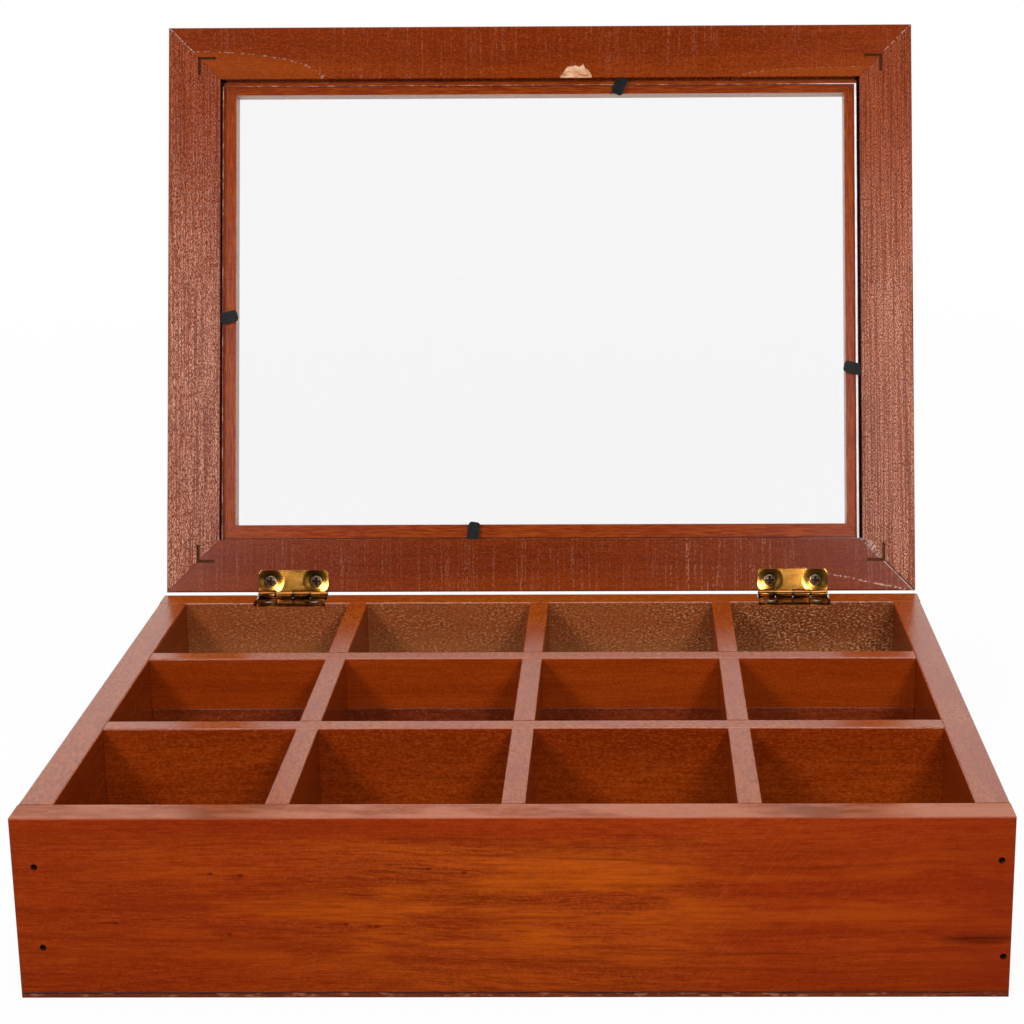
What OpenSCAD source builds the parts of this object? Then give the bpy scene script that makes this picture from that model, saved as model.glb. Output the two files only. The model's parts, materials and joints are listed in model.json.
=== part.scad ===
// Divided wooden box with a hinged, glazed lid.
// The box holds twelve open compartments. The lid is a mitred frame whose pane lies
// in a rabbet behind four bent points, and it swings on two small butt hinges.
// The origin is at the centre of the underside. +X is to the right, +Y to the back, +Z up.
// The lid is drawn open, at the angle at which it stands by itself.

/* [Box] */
// Outside width of the box
box_w = 300; // [240:1:360]
// Outside depth of the box
box_d = 229; // [195:1:290]
// Height of the four wall boards
wall_h = 56.7; // [45:0.1:80]
// Thickness of the two side boards
side_t = 10.7; // [9:0.1:14]
// Thickness of the front and back boards
end_t = 11.2; // [10.5:0.1:16]
// Thickness of the bottom panel
bottom_t = 2; // [1.6:0.1:4]
// Radius of the eased arrises
ease_r = 0.6; // [0.2:0.1:1.2]

/* [Dividers] */
// Thickness of the dividers
divider_t = 7.5; // [5:0.1:10]
// Clear depth of the front row and of the middle row
row_clear = 65; // [45:0.5:75]
// Height of the upper of the two strips that the rear cross divider is glued up from
upper_strip_h = 19.2; // [10:0.1:20]
// Play round a cross-halved joint
halving_play = 0.1; // [0.05:0.05:0.3]

/* [Lid] */
// Thickness of the lid frame
lid_t = 12; // [10.5:0.5:18]
// How far the lid is set in from each side of the box
lid_margin = 0.3; // [0:0.1:2]
// Full width of a rail, from its outer edge to the opening
rail_w = 27; // [22:0.5:36]
// Width of the ledge that carries the pane
ledge_w = 6; // [4:0.5:8]
// Depth of the rabbet
rabbet_d = 4.5; // [4:0.1:6]
// Angle from closed at which the open lid stands
open_angle = 106.5; // [92:0.5:115]

/* [Glass] */
// Thickness of the pane
glass_t = 2.5; // [2:0.1:3]
// Side-to-side play of the pane in its rabbet
glass_play_w = 1.6; // [0.4:0.1:3]
// Front-to-back play of the pane, all of it at the front
glass_play_d = 2.3; // [0.4:0.1:3]

/* [Glazing points] */
// Thickness of a point
clip_t = 0.6; // [0.4:0.1:0.8]
// Width of a point
clip_w = 4.6; // [3:0.1:7]
// How far a point reaches over the pane from the rabbet wall
clip_reach = 7; // [5:0.1:9]
// How deep a point is driven into its rail
clip_bite = 5; // [3:0.1:7]
// Step of the bend that brings a point down on the pane
clip_lift = 0.3; // [0.1:0.05:0.5]
// Place of the front point, to the right of centre
clip_front_x = 33.4; // [-90:0.1:90]
// Place of the rear point, to the right of centre
clip_rear_x = -27.3; // [-90:0.1:90]
// Place of the left point, forward of the lid's rear edge
clip_left_y = 110; // [50:0.5:150]
// Place of the right point, forward of the lid's rear edge
clip_right_y = 88.5; // [50:0.5:150]

/* [Corner fasteners] */
// Length of each wing of a corner fastener
vnail_leg = 7; // [5:0.1:8]
// Thickness of a wing
vnail_t = 1; // [0.6:0.1:1.4]
// Height of a corner fastener
vnail_h = 7; // [5:0.1:8]
// Depth of its top edge below the rail's face
vnail_sunk = 0.8; // [0.3:0.1:1.5]
// Distance from each outer edge of the lid to the corner of the fastener
vnail_inset = 12; // [9:0.1:14]

/* [Hinges] */
// Length of a hinge
hinge_len = 27.8; // [22:0.1:36]
// Width of a leaf, from the pin's axis to its edge
leaf_w = 10; // [8.5:0.1:10.4]
// Thickness of a leaf
leaf_t = 0.8; // [0.6:0.05:1]
// Outer radius of the barrel
barrel_r = 1.6; // [1.5:0.05:2]
// Radius of the pin
pin_r = 0.8; // [0.6:0.05:0.9]
// Distance from each end of the box to the middle of its hinge
hinge_inset = 50.35; // [32:0.05:75]
// How far the pair of hinges sits to the right of centre
hinge_shift = 0.95; // [-5:0.05:5]
// Depth of the notch that lets the lower leaf into the back board
hinge_recess = 1.8; // [1:0.1:2.2]
// Distance from the pin's axis to the lid's rear edge
lid_setback = 1.2; // [1:0.1:2]
// Radius of the rounded leaf corners
leaf_corner_r = 1.2; // [0.6:0.1:2]

/* [Hinge screws] */
// Radius of a screw's head
screw_head_r = 2.2; // [1.8:0.05:2.4]
// Height of a screw's domed head above the leaf
screw_head_h = 0.6; // [0.4:0.05:0.7]
// Radius of a screw's shank
screw_shank_r = 1; // [0.7:0.05:1.2]
// Length of a screw below the leaf's face
screw_len = 9.5; // [7:0.1:10]
// Distance from the pin's axis to the row of screws
screw_row = 5.6; // [4.8:0.1:6.2]
// Distance between the two screws of a leaf
screw_spacing = 18.2; // [12:0.1:21]

/* [Brads] */
// Radius of a brad
brad_r = 0.6; // [0.4:0.05:0.9]
// Radius of a brad's head
brad_head_r = 1; // [0.8:0.05:1.4]
// Height of a brad's head
brad_head_h = 0.8; // [0.5:0.1:1.2]
// Length of the brads through the front and back boards
corner_brad_len = 28; // [20:0.5:35]
// Length of the brads through the bottom panel
bottom_brad_len = 14; // [8:0.5:25]
// Depth to which the corner brads are punched below the face
brad_sunk = 1.1; // [0.5:0.1:2]
// Height of the lower corner brads above the underside
brad_low = 15.2; // [10:0.1:22]
// Height of the upper corner brads above the underside
brad_high = 43.8; // [28:0.1:44]

/* [Clearances] */
// Gap between a moving knuckle and its neighbours
knuckle_gap = 0.25; // [0.15:0.05:0.4]
// Gap round a barrel where wood or a leaf is cut back for it
barrel_relief = 0.35; // [0.3:0.05:0.6]
// Gap round a pin in the knuckles that turn on it
pin_play = 0.05; // [0.03:0.01:0.08]
// Gap round what is driven or let into a cut of its own shape
seat_play = 0.05; // [0.03:0.01:0.1]
// Gap left under the front of the closed lid
closed_gap = 0.4; // [0.3:0.05:0.8]

/* [Hidden] */
$fn = 48;

wood = [0.50, 0.20, 0.07];
lid_wood = [0.42, 0.15, 0.06];
raw_wood = [0.62, 0.36, 0.18];
brass = [0.72, 0.52, 0.20];
steel = [0.66, 0.66, 0.64];
black = [0.07, 0.07, 0.08];
clear = [0.85, 0.90, 0.92, 0.35];

eps = 0.01;
box_h = bottom_t + wall_h;
inner_w = box_w - 2 * side_t;
inner_d = box_d - 2 * end_t;
col_clear = (inner_w - 3 * divider_t) / 4;
long_x = [for (k = [-1, 0, 1]) k * (col_clear + divider_t)];
slot_top = bottom_t + wall_h / 2;
inner_front_y = -box_d / 2 + end_t;
cross_y = [for (k = [1, 2]) inner_front_y + k * (row_clear + divider_t) - divider_t / 2];

// The pin's axis lies over the rear face of the box, a barrel's radius above the notch floor
axis_y = box_d / 2;
axis_z = box_h - hinge_recess + barrel_r;
lid_w = box_w - 2 * lid_margin;
lid_d = box_d - lid_setback;
face_w = rail_w - ledge_w;
hinge_x = [for (side = [-1, 1]) hinge_shift + side * (box_w / 2 - hinge_inset)];
knuckles = 4;
knuckle_pitch = hinge_len / knuckles;
box_knuckles = [0, 2];
lid_knuckles = [1, 3];
leaf_back = barrel_r + barrel_relief;
countersink_h = 0.5;
countersink_play = 0.15;
recess_w = 0.6;
recess_len = 2.5;
recess_depth = 0.5;
// Closing turns the lid about +X from where it stands until its front edge is
// closed_gap above the front board
lid_droop = asin((axis_z + barrel_r - box_h - closed_gap) / (lid_setback + lid_d));
close_angle = open_angle + lid_droop;
clip_tilt_front = 21;
clip_tilt_rear = 8;
clip_tilt_left = -13;
clip_tilt_right = 15;
clip_bend_start = 0.3;
clip_bend_end = 1.5;
clip_corner_r = 1.3;
// How far each hand-driven front brad strays from its row, sideways and up:
// the low and the high one at the left end, then at the right end
brad_stray = [[[2.2, 1.5], [1.3, -0.8]], [[3.2, -1.8], [1.5, 0.9]]];
// Brads through the bottom panel, as shares of the wall's length
bottom_brad_shares = [-0.36, 0, 0.36];
bottom_brad_side_shares = [-0.2, 0.2];

// ---- Shared shapes ----

// A w by h rectangle from the origin, with corners of radius r: bottom left, bottom right,
// top right, top left
module eased_rect(w, h, r) {
    spots = [[0, 0], [w, 0], [w, h], [0, h]];
    inward = [[1, 1], [-1, 1], [-1, -1], [1, -1]];
    difference() {
        square([w, h]);
        for (k = [0:3])
            if (r[k] > 0)
                translate(spots[k] + inward[k] * r[k] / 2) square(r[k] + eps, center = true);
    }
    for (k = [0:3])
        if (r[k] > 0)
            intersection() {
                translate(spots[k] + inward[k] * r[k]) circle(r = r[k]);
                square([w, h]);
            }
}

// A board on edge, running along +X from the origin, its thickness along +Y
module board(length, t, h) {
    rotate([90, 0, 90]) linear_extrude(length) eased_rect(t, h, [0, 0, ease_r, ease_r]);
}

// A cylinder along X, centred
module rod_x(r, length) {
    rotate([0, 90, 0]) cylinder(r = r, h = length, center = true);
}

// Places its children at each corner brad of one wall: side is -1 at the front, 1 at the back.
// The children point along +Y, into the board, with y = 0 at the board's outer face.
module at_corner_brads(side) {
    for (end = [0, 1], level = [0, 1]) {
        stray = side < 0 ? brad_stray[end][level] : [0, 0];
        x = (2 * end - 1) * (box_w - side_t) / 2 + stray[0];
        z = (level == 0 ? brad_low : brad_high) + stray[1];
        translate([x, side * box_d / 2, z]) rotate([0, 0, side > 0 ? 180 : 0]) children();
    }
}

// Places its children at each brad through the bottom panel, pointing up from the underside
module at_bottom_brads() {
    for (side = [-1, 1]) {
        for (share = bottom_brad_shares)
            translate([share * box_w, side * (box_d - end_t) / 2, 0]) children();
        for (share = bottom_brad_side_shares)
            translate([side * (box_w - side_t) / 2, share * box_d, 0]) children();
    }
}

// A brad along +Z with the top of its head at the origin
module brad(length) {
    cylinder(r = brad_head_r, h = brad_head_h, $fn = 24);
    translate([0, 0, brad_head_h - eps]) cylinder(r = brad_r, h = length - brad_head_h + eps, $fn = 24);
}

// The hole for that brad, open at the origin, with its head sunk by a given depth
module brad_hole(length, sunk) {
    head_end = sunk + brad_head_h + seat_play;
    translate([0, 0, -1]) cylinder(r = brad_head_r + seat_play, h = 1 + head_end, $fn = 24);
    cylinder(r = brad_r + seat_play, h = length + sunk + seat_play, $fn = 24);
}

module corner_brad_holes(side) {
    at_corner_brads(side) rotate([-90, 0, 0]) brad_hole(corner_brad_len, brad_sunk);
}

module bottom_brad_holes() {
    at_bottom_brads() brad_hole(bottom_brad_len, 0);
}

// ---- Box ----

module end_board(side) {
    y = side > 0 ? box_d / 2 - end_t : -box_d / 2;
    translate([-box_w / 2, y, bottom_t]) board(box_w, end_t, wall_h);
}

module front_board() {
    color(wood) difference() {
        end_board(-1);
        corner_brad_holes(-1);
        bottom_brad_holes();
    }
}

module back_board() {
    color(wood) difference() {
        end_board(1);
        corner_brad_holes(1);
        bottom_brad_holes();
        for (x = hinge_x) translate([x, axis_y, axis_z]) {
            hinge_notch();
            at_screws() screw_pilot();
        }
    }
}

module side_board(side) {
    color(wood) difference() {
        translate([side > 0 ? box_w / 2 : -box_w / 2 + side_t, -inner_d / 2, bottom_t])
            rotate([0, 0, 90]) board(inner_d, side_t, wall_h);
        corner_brad_holes(-1);
        corner_brad_holes(1);
        bottom_brad_holes();
    }
}

module left_side_board() side_board(-1);
module right_side_board() side_board(1);

module bottom_panel() {
    color(raw_wood) difference() {
        translate([-box_w / 2, -box_d / 2, 0]) cube([box_w, box_d, bottom_t]);
        bottom_brad_holes();
    }
}

// A divider that runs side to side, slotted from below over the long dividers
module cross_divider(y) {
    difference() {
        translate([-inner_w / 2, y - divider_t / 2, bottom_t]) board(inner_w, divider_t, wall_h);
        for (x = long_x)
            translate([x - divider_t / 2 - halving_play, y - divider_t, 0])
                cube([divider_t + 2 * halving_play, 2 * divider_t, slot_top + halving_play]);
    }
}

// The part of the rear cross divider between two heights
module rear_strip(low, high) {
    color(wood) intersection() {
        cross_divider(cross_y[1]);
        translate([-box_w / 2, -box_d / 2, low]) cube([box_w, box_d, high - low]);
    }
}

module cross_divider_front() color(wood) cross_divider(cross_y[0]);
module cross_divider_rear_upper() rear_strip(box_h - upper_strip_h, box_h + 1);
module cross_divider_rear_lower() rear_strip(0, box_h - upper_strip_h);

// A divider that runs front to back, slotted from above under the cross dividers
module long_divider(x) {
    color(wood) difference() {
        translate([x + divider_t / 2, -inner_d / 2, bottom_t])
            rotate([0, 0, 90]) board(inner_d, divider_t, wall_h);
        for (y = cross_y)
            translate([x - divider_t, y - divider_t / 2 - halving_play, slot_top])
                cube([2 * divider_t, divider_t + 2 * halving_play, wall_h]);
    }
}

module long_divider_left() long_divider(long_x[0]);
module long_divider_middle() long_divider(long_x[1]);
module long_divider_right() long_divider(long_x[2]);

module corner_brads(side) {
    color(steel) at_corner_brads(side)
        rotate([-90, 0, 0]) translate([0, 0, brad_sunk]) brad(corner_brad_len);
}

module corner_brads_front() corner_brads(-1);
module corner_brads_back() corner_brads(1);

module bottom_brads() {
    color(steel) at_bottom_brads() brad(bottom_brad_len);
}

// ---- Lid ----
// Lid pieces are drawn closed, in a frame whose origin is the pin's axis at mid width:
// the lid's inner face is at z = barrel_r and its rear edge at y = -lid_setback.

module lid_pose() {
    translate([0, axis_y, axis_z]) rotate([-open_angle, 0, 0]) children();
}

// Section of a rail: x runs inwards from the outer edge, y from the inner face outwards
module rail_section() {
    eased_rect(face_w, lid_t, [ease_r, 0, 0, ease_r]);
    translate([face_w - eps, rabbet_d]) eased_rect(ledge_w + eps, lid_t - rabbet_d, [0, 0, ease_r, 0]);
}

// A mitred rail, centred on its outer edge, which lies along X with the lid behind it at +Y
module mitred_rail(length) {
    intersection() {
        translate([-length / 2, 0, 0]) rotate([90, 0, 90]) linear_extrude(length) rail_section();
        translate([0, 0, -1]) linear_extrude(lid_t + 2)
            polygon([[-length / 2, 0], [length / 2, 0],
                     [length / 2 - rail_w - 1, rail_w + 1], [-length / 2 + rail_w + 1, rail_w + 1]]);
    }
}

// Places a child that lies along X as the rail of one side: 0 rear, 1 left, 2 front, 3 right.
// In the child's frame the rail's outer edge is y = 0 and its inner face z = 0.
module at_side(side) {
    half_d = lid_d / 2;
    half_w = lid_w / 2;
    out = side % 2 == 0 ? half_d : half_w;
    translate([0, -lid_setback - half_d, barrel_r])
        rotate([0, 0, 180 + 90 * side]) translate([0, -out, 0]) children();
}

// Place of each side's glazing point along its rail, in the rail's own frame, and its tilt
clip_place = [-clip_rear_x, clip_left_y - lid_d / 2, clip_front_x, lid_d / 2 - clip_right_y];
clip_tilt = [clip_tilt_rear, clip_tilt_left, clip_tilt_front, clip_tilt_right];

module at_clip(side) {
    at_side(side) translate([clip_place[side], face_w, rabbet_d - glass_t])
        rotate([0, 0, clip_tilt[side]]) children();
}

// Cut for the driven end of a point
module clip_slot() {
    translate([-clip_w / 2 - seat_play, -clip_bite - seat_play, -clip_t - clip_lift - seat_play])
        cube([clip_w + 2 * seat_play, clip_bite + clip_w, clip_t + 2 * seat_play]);
}

// Places its child at each corner fastener, legs along +X and +Y, at the inner face
module at_vnail(corner) {
    side_x = corner % 2 == 0 ? -1 : 1;
    front = corner < 2;
    from_rear = front ? lid_d - vnail_inset : vnail_inset;
    translate([side_x * (lid_w / 2 - vnail_inset), -lid_setback - from_rear, barrel_r])
        mirror([side_x > 0 ? 1 : 0, 0, 0]) mirror([0, front ? 0 : 1, 0]) children();
}

module vnail_shape(play, height) {
    linear_extrude(height) translate([-play, -play]) {
        square([vnail_leg + 2 * play, vnail_t + 2 * play]);
        square([vnail_t + 2 * play, vnail_leg + 2 * play]);
    }
}

module lid_rail(side) {
    length = side % 2 == 0 ? lid_w : lid_d;
    lid_pose() color(lid_wood) difference() {
        at_side(side) mitred_rail(length);
        at_clip(side) clip_slot();
        for (corner = [0:3]) at_vnail(corner) translate([0, 0, -1])
            vnail_shape(seat_play, 1 + vnail_sunk + vnail_h + seat_play);
        if (side == 0)
            for (x = hinge_x) translate([x, 0, 0]) mirror([0, 0, 1]) at_screws() screw_pilot();
    }
}

module lid_rail_rear() lid_rail(0);
module lid_rail_left() lid_rail(1);
module lid_rail_front() lid_rail(2);
module lid_rail_right() lid_rail(3);

module glass_pane() {
    pane_w = lid_w - 2 * face_w - glass_play_w;
    pane_d = lid_d - 2 * face_w - glass_play_d;
    lid_pose() color(clear)
        translate([-pane_w / 2, -lid_setback - face_w - pane_d, barrel_r + rabbet_d - glass_t])
            cube([pane_w, pane_d, glass_t]);
}

// A glazing point: a flat blade driven into the rabbet wall and bent down on the pane
module glazing_point(side) {
    lid_pose() color(black) at_clip(side) intersection() {
        translate([-clip_w / 2, 0, 0]) rotate([90, 0, 90]) linear_extrude(clip_w) polygon([
            [-clip_bite, -clip_lift], [clip_bend_start, -clip_lift], [clip_bend_end, 0], [clip_reach, 0],
            [clip_reach, -clip_t], [clip_bend_end, -clip_t], [clip_bend_start, -clip_t - clip_lift],
            [-clip_bite, -clip_t - clip_lift]]);
        translate([-clip_w / 2, -clip_bite, -2]) linear_extrude(4)
            eased_rect(clip_w, clip_bite + clip_reach, [0, 0, clip_corner_r, clip_corner_r]);
    }
}

module glazing_point_rear() glazing_point(0);
module glazing_point_left() glazing_point(1);
module glazing_point_front() glazing_point(2);
module glazing_point_right() glazing_point(3);

module corner_fastener(corner) {
    lid_pose() color(black) at_vnail(corner) translate([0, 0, vnail_sunk]) vnail_shape(0, vnail_h);
}

module corner_fastener_front_left() corner_fastener(0);
module corner_fastener_front_right() corner_fastener(1);
module corner_fastener_rear_left() corner_fastener(2);
module corner_fastener_rear_right() corner_fastener(3);

// ---- Hinges ----
// A leaf is drawn in a frame whose origin is the pin's axis at the hinge's middle. It lies
// forward of the axis with its wood side down, tangent to the barrel.

function knuckle_x(k) = (k + 0.5) * knuckle_pitch - hinge_len / 2;

// Notch in the back board: a flat seat for the leaf and a round channel for the barrel
module hinge_notch() {
    length = hinge_len + 2 * knuckle_gap;
    translate([-length / 2, -end_t - 1, -barrel_r]) cube([length, end_t + 2, hinge_recess + 1]);
    rod_x(leaf_back, length);
}

// Places its children at the two screws of a leaf, at the leaf's wood side, pointing down
module at_screws() {
    for (side = [-1, 1])
        translate([side * screw_spacing / 2, -screw_row, -barrel_r]) children();
}

module screw_pilot() {
    translate([0, 0, -screw_len])
        cylinder(r = screw_shank_r + seat_play, h = screw_len + leaf_t, $fn = 24);
}

module hinge_leaf(own, bore_play) {
    color(brass) difference() {
        union() {
            translate([0, 0, -barrel_r]) linear_extrude(leaf_t) {
                translate([-hinge_len / 2, -leaf_w])
                    eased_rect(hinge_len, leaf_w - leaf_back, [leaf_corner_r, leaf_corner_r, 0, 0]);
                for (k = own)
                    translate([knuckle_x(k) - (knuckle_pitch - knuckle_gap) / 2, -leaf_back - eps])
                        square([knuckle_pitch - knuckle_gap, leaf_back + eps]);
            }
            for (k = own) translate([knuckle_x(k), 0, 0]) rod_x(barrel_r, knuckle_pitch - knuckle_gap);
        }
        rod_x(pin_r + bore_play, hinge_len + 1);
        at_screws() {
            translate([0, 0, -1]) cylinder(r = screw_shank_r + countersink_play, h = 3, $fn = 24);
            translate([0, 0, leaf_t - countersink_h])
                cylinder(r1 = screw_shank_r + countersink_play, r2 = screw_head_r + countersink_play,
                         h = countersink_h + eps, $fn = 32);
        }
    }
}

module hinge_screw() {
    cap_r = (screw_head_r * screw_head_r + screw_head_h * screw_head_h) / (2 * screw_head_h);
    difference() {
        union() {
            translate([0, 0, leaf_t]) intersection() {
                translate([0, 0, screw_head_h - cap_r]) sphere(r = cap_r, $fn = 96);
                cylinder(r = screw_head_r, h = screw_head_h + 1, $fn = 32);
            }
            translate([0, 0, leaf_t - countersink_h])
                cylinder(r1 = screw_shank_r, r2 = screw_head_r, h = countersink_h + eps, $fn = 32);
            translate([0, 0, leaf_t - screw_len])
                cylinder(r = screw_shank_r, h = screw_len - countersink_h + eps, $fn = 24);
        }
        for (turn = [0, 90])
            translate([0, 0, leaf_t + screw_head_h]) rotate([0, 0, turn])
                cube([recess_len, recess_w, 2 * recess_depth], center = true);
    }
}

module at_box_hinge(x) translate([x, axis_y, axis_z]) children();
module at_lid_hinge(x) lid_pose() translate([x, 0, 0]) mirror([0, 0, 1]) children();

module hinge_left_box_leaf() at_box_hinge(hinge_x[0]) hinge_leaf(box_knuckles, seat_play / 2);
module hinge_right_box_leaf() at_box_hinge(hinge_x[1]) hinge_leaf(box_knuckles, seat_play / 2);
module hinge_left_lid_leaf() at_lid_hinge(hinge_x[0]) hinge_leaf(lid_knuckles, pin_play);
module hinge_right_lid_leaf() at_lid_hinge(hinge_x[1]) hinge_leaf(lid_knuckles, pin_play);
module hinge_left_pin() color(steel) at_box_hinge(hinge_x[0]) rod_x(pin_r, hinge_len);
module hinge_right_pin() color(steel) at_box_hinge(hinge_x[1]) rod_x(pin_r, hinge_len);
module hinge_left_box_screws() color(brass) at_box_hinge(hinge_x[0]) at_screws() hinge_screw();
module hinge_right_box_screws() color(brass) at_box_hinge(hinge_x[1]) at_screws() hinge_screw();
module hinge_left_lid_screws() color(brass) at_lid_hinge(hinge_x[0]) at_screws() hinge_screw();
module hinge_right_lid_screws() color(brass) at_lid_hinge(hinge_x[1]) at_screws() hinge_screw();

front_board();
back_board();
left_side_board();
right_side_board();
bottom_panel();
cross_divider_front();
cross_divider_rear_upper();
cross_divider_rear_lower();
long_divider_left();
long_divider_middle();
long_divider_right();
lid_rail_front();
lid_rail_rear();
lid_rail_left();
lid_rail_right();
glass_pane();
glazing_point_front();
glazing_point_rear();
glazing_point_left();
glazing_point_right();
corner_fastener_front_left();
corner_fastener_front_right();
corner_fastener_rear_left();
corner_fastener_rear_right();
hinge_left_box_leaf();
hinge_left_lid_leaf();
hinge_left_pin();
hinge_right_box_leaf();
hinge_right_lid_leaf();
hinge_right_pin();
hinge_left_box_screws();
hinge_left_lid_screws();
hinge_right_box_screws();
hinge_right_lid_screws();
corner_brads_front();
corner_brads_back();
bottom_brads();
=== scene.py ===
"""Dresses a divided wooden box with a glazed lid: stained boards, clear glass, brass and steel."""

import json
import math

import bmesh
import bpy
from mathutils import Matrix, Vector, noise


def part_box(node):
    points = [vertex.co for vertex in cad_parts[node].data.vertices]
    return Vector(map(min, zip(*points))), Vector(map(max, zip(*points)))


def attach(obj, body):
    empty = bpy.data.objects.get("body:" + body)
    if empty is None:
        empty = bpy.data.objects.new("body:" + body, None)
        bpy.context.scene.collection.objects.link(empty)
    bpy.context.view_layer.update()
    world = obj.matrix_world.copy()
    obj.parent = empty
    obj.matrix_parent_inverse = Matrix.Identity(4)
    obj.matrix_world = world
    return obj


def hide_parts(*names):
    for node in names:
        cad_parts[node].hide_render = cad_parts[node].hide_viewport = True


bl_info = {
    "name": "Divided Box Dresser",
    "version": (1, 0, 0),
    "blender": (4, 5, 0),
    "location": "View3D > Sidebar > Divided Box",
    "description": "Softens the boards of a divided box and gives every piece its finish",
    "category": "Object",
}

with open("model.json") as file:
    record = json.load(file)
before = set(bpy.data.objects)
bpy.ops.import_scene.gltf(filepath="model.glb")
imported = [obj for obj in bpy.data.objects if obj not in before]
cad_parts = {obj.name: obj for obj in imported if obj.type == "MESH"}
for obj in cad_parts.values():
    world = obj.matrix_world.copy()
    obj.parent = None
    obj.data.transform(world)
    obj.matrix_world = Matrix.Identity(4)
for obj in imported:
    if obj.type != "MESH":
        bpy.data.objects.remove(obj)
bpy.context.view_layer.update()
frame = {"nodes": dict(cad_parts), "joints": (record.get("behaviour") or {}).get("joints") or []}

MM = 0.001
BOX = "box"
LID = "lid"

# The lid stands open at this angle. Its own coordinates are those of the closed lid, with the
# origin on the hinge pin: X to the right, Y to the back, Z up from the box.
OPEN_ANGLE = math.radians(106.5)
PIN = Vector(frame["joints"][0]["pos_m"])
FROM_LID = Matrix.Translation(PIN) @ Matrix.Rotation(-OPEN_ANGLE, 4, "X")
TO_LID = FROM_LID.inverted()

# The closed lid from the pin: heights of its inner and outer face, its rear edge, half its width,
# its depth, and how far in from its sides the rabbet's walls stand.
LID_FACE = 1.6 * MM
LID_BACK = 13.6 * MM
LID_REAR = -1.2 * MM
LID_HALF = 149.7 * MM
LID_DEPTH = 227.8 * MM
RABBET_WALL = 21 * MM

BOX_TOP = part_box("front_board")[1].z
FRONT_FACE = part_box("front_board")[0].y
BACK_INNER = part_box("back_board")[0].y

AXES = {"X": Vector((1, 0, 0)), "Y": Vector((0, 1, 0))}


# ---------------------------------------------------------------- tones

# Factors that lighten or darken a stain. The hair and grit factors give painted highlights on fine fibres and
# painted glints on grit.
# Painted highlight on pale fine fibres.
HAIR_HIGHLIGHT = (1.2, 1.3, 1.4, 1)
# Painted glints on grit.
GRIT_GLINT = (1.35, 1.9, 6.0, 1)
DARK_PORE = (0.45, 0.4, 0.4, 1)
TOP_DIM = (0.66, 0.55, 0.6, 1)
TOP_BRIGHT = (1.1, 1.2, 1.4, 1)

# Marks on the box.
# Painted sheen on the top of the show face, and a painted reflection of the dark lid in it.
TOP_SHEEN_PALE = (0.50, 0.19, 0.115, 1.0)
LID_REFLECTION_DULL = (0.20, 0.045, 0.012, 1.0)
FLAME = (0.42, 0.076, 0.0010, 1.0)
DEEP_RED = (0.195, 0.0115, 0.0003, 1.0)
RED_END = (0.17, 0.012, 0.001, 1.0)
SANDED = (0.44, 0.12, 0.02, 1.0)
BACK_BROWN = (0.34, 0.120, 0.036, 1.0)
BACK_PALE = (0.42, 0.17, 0.06, 1.0)
PLY_NICK = (0.36, 0.14, 0.060, 1.0)
DARK_LINE = (0.012, 0.003, 0.0015, 1.0)

# Marks on the lid's rails.
# The ledge seen through the pane, painted lighter than the rails: painted light.
LIT_LEDGE_DARK = (0.270, 0.026, 0.0003, 1)
LIT_LEDGE_LIGHT = (0.420, 0.072, 0.003, 1)
# Painted shade in the rabbet's corner.
RABBET_CORNER_SHADE = (0.012, 0.002, 0.001, 1.0)
# Painted light on the wall of the opening.
OPENING_WALL_LIGHT = (0.70, 0.46, 0.34, 1.0)
EDGE_NICK = (0.50, 0.26, 0.16, 1.0)
MITRE_DOTS = (0.60, 0.42, 0.33, 1.0)
MITRE_SCRATCH = (0.58, 0.42, 0.35, 1.0)
CUTTER_LINE = (0.56, 0.28, 0.18, 1.0)
PLANED = (0.31, 0.058, 0.003, 1.0)
PLANED_RIM = (0.56, 0.36, 0.27, 1.0)
FURROW = (0.10, 0.013, 0.002, 1.0)
FURROW_PIT = (0.09, 0.011, 0.002, 1.0)
# Painted sheen on the crests of the side rails.
CREST_SHEEN = (0.86, 0.45, 0.31, 1.0)
CRACK = (0.22, 0.08, 0.035, 1.0)

# Ground glass with stained wood behind it, and a paler copy that is a painted highlight where the pane's
# right edge catches the light, each from dark to light.
FROST_STAINED = ((0.16, 0.035, 0.012, 1), (0.50, 0.27, 0.18, 1))
FROST_LIT_EDGE = ((0.80, 0.76, 0.78, 1), (0.92, 0.88, 0.90, 1))

# Metals, with the wear on them and the painted shade, shadows and highlights that they carry.
FASTENER_STEEL = (0.070, 0.022, 0.008)
# The pin is darkened so that, seen in the knuckle gaps, it gives painted shade there.
SHADED_PIN_STEEL = (0.07, 0.04, 0.02)
BRAD_STEEL = (0.03, 0.02, 0.015)
BLACK_SPOT = (0.012, 0.012, 0.013, 1)
# Painted highlight on the bevels of the blackened points.
BLACK_RIM_HIGHLIGHT = (0.20, 0.15, 0.12, 1)
# Painted shade on a screw head's middle, its recess and the recess's walls.
HEAD_MIDDLE_SHADE = (0.12, 0.07, 0.04, 1.0)
RECESS_SHADE = (0.010, 0.006, 0.004, 1.0)
RECESS_WALL_SHADE = (0.006, 0.004, 0.003, 1.0)
# Painted shadow round the screw heads.
HEAD_RING_SHADOW = (0.02, 0.008, 0.003, 1.0)
BARREL = (0.12, 0.042, 0.011, 1.0)
# Painted shade in the gaps between the knuckles.
KNUCKLE_GAP_SHADE = (0.008, 0.004, 0.002, 1.0)

# How the floor looks in a shiny face.
FLOOR_MIRRORED = (0.03, 0.03, 0.03, 1.0)


# ---------------------------------------------------------------- settings


def length_property(name, description, default, **limits):
    return bpy.props.FloatProperty(
        name=name, description=description, default=default, min=0.0, unit="LENGTH", **limits)


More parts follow.
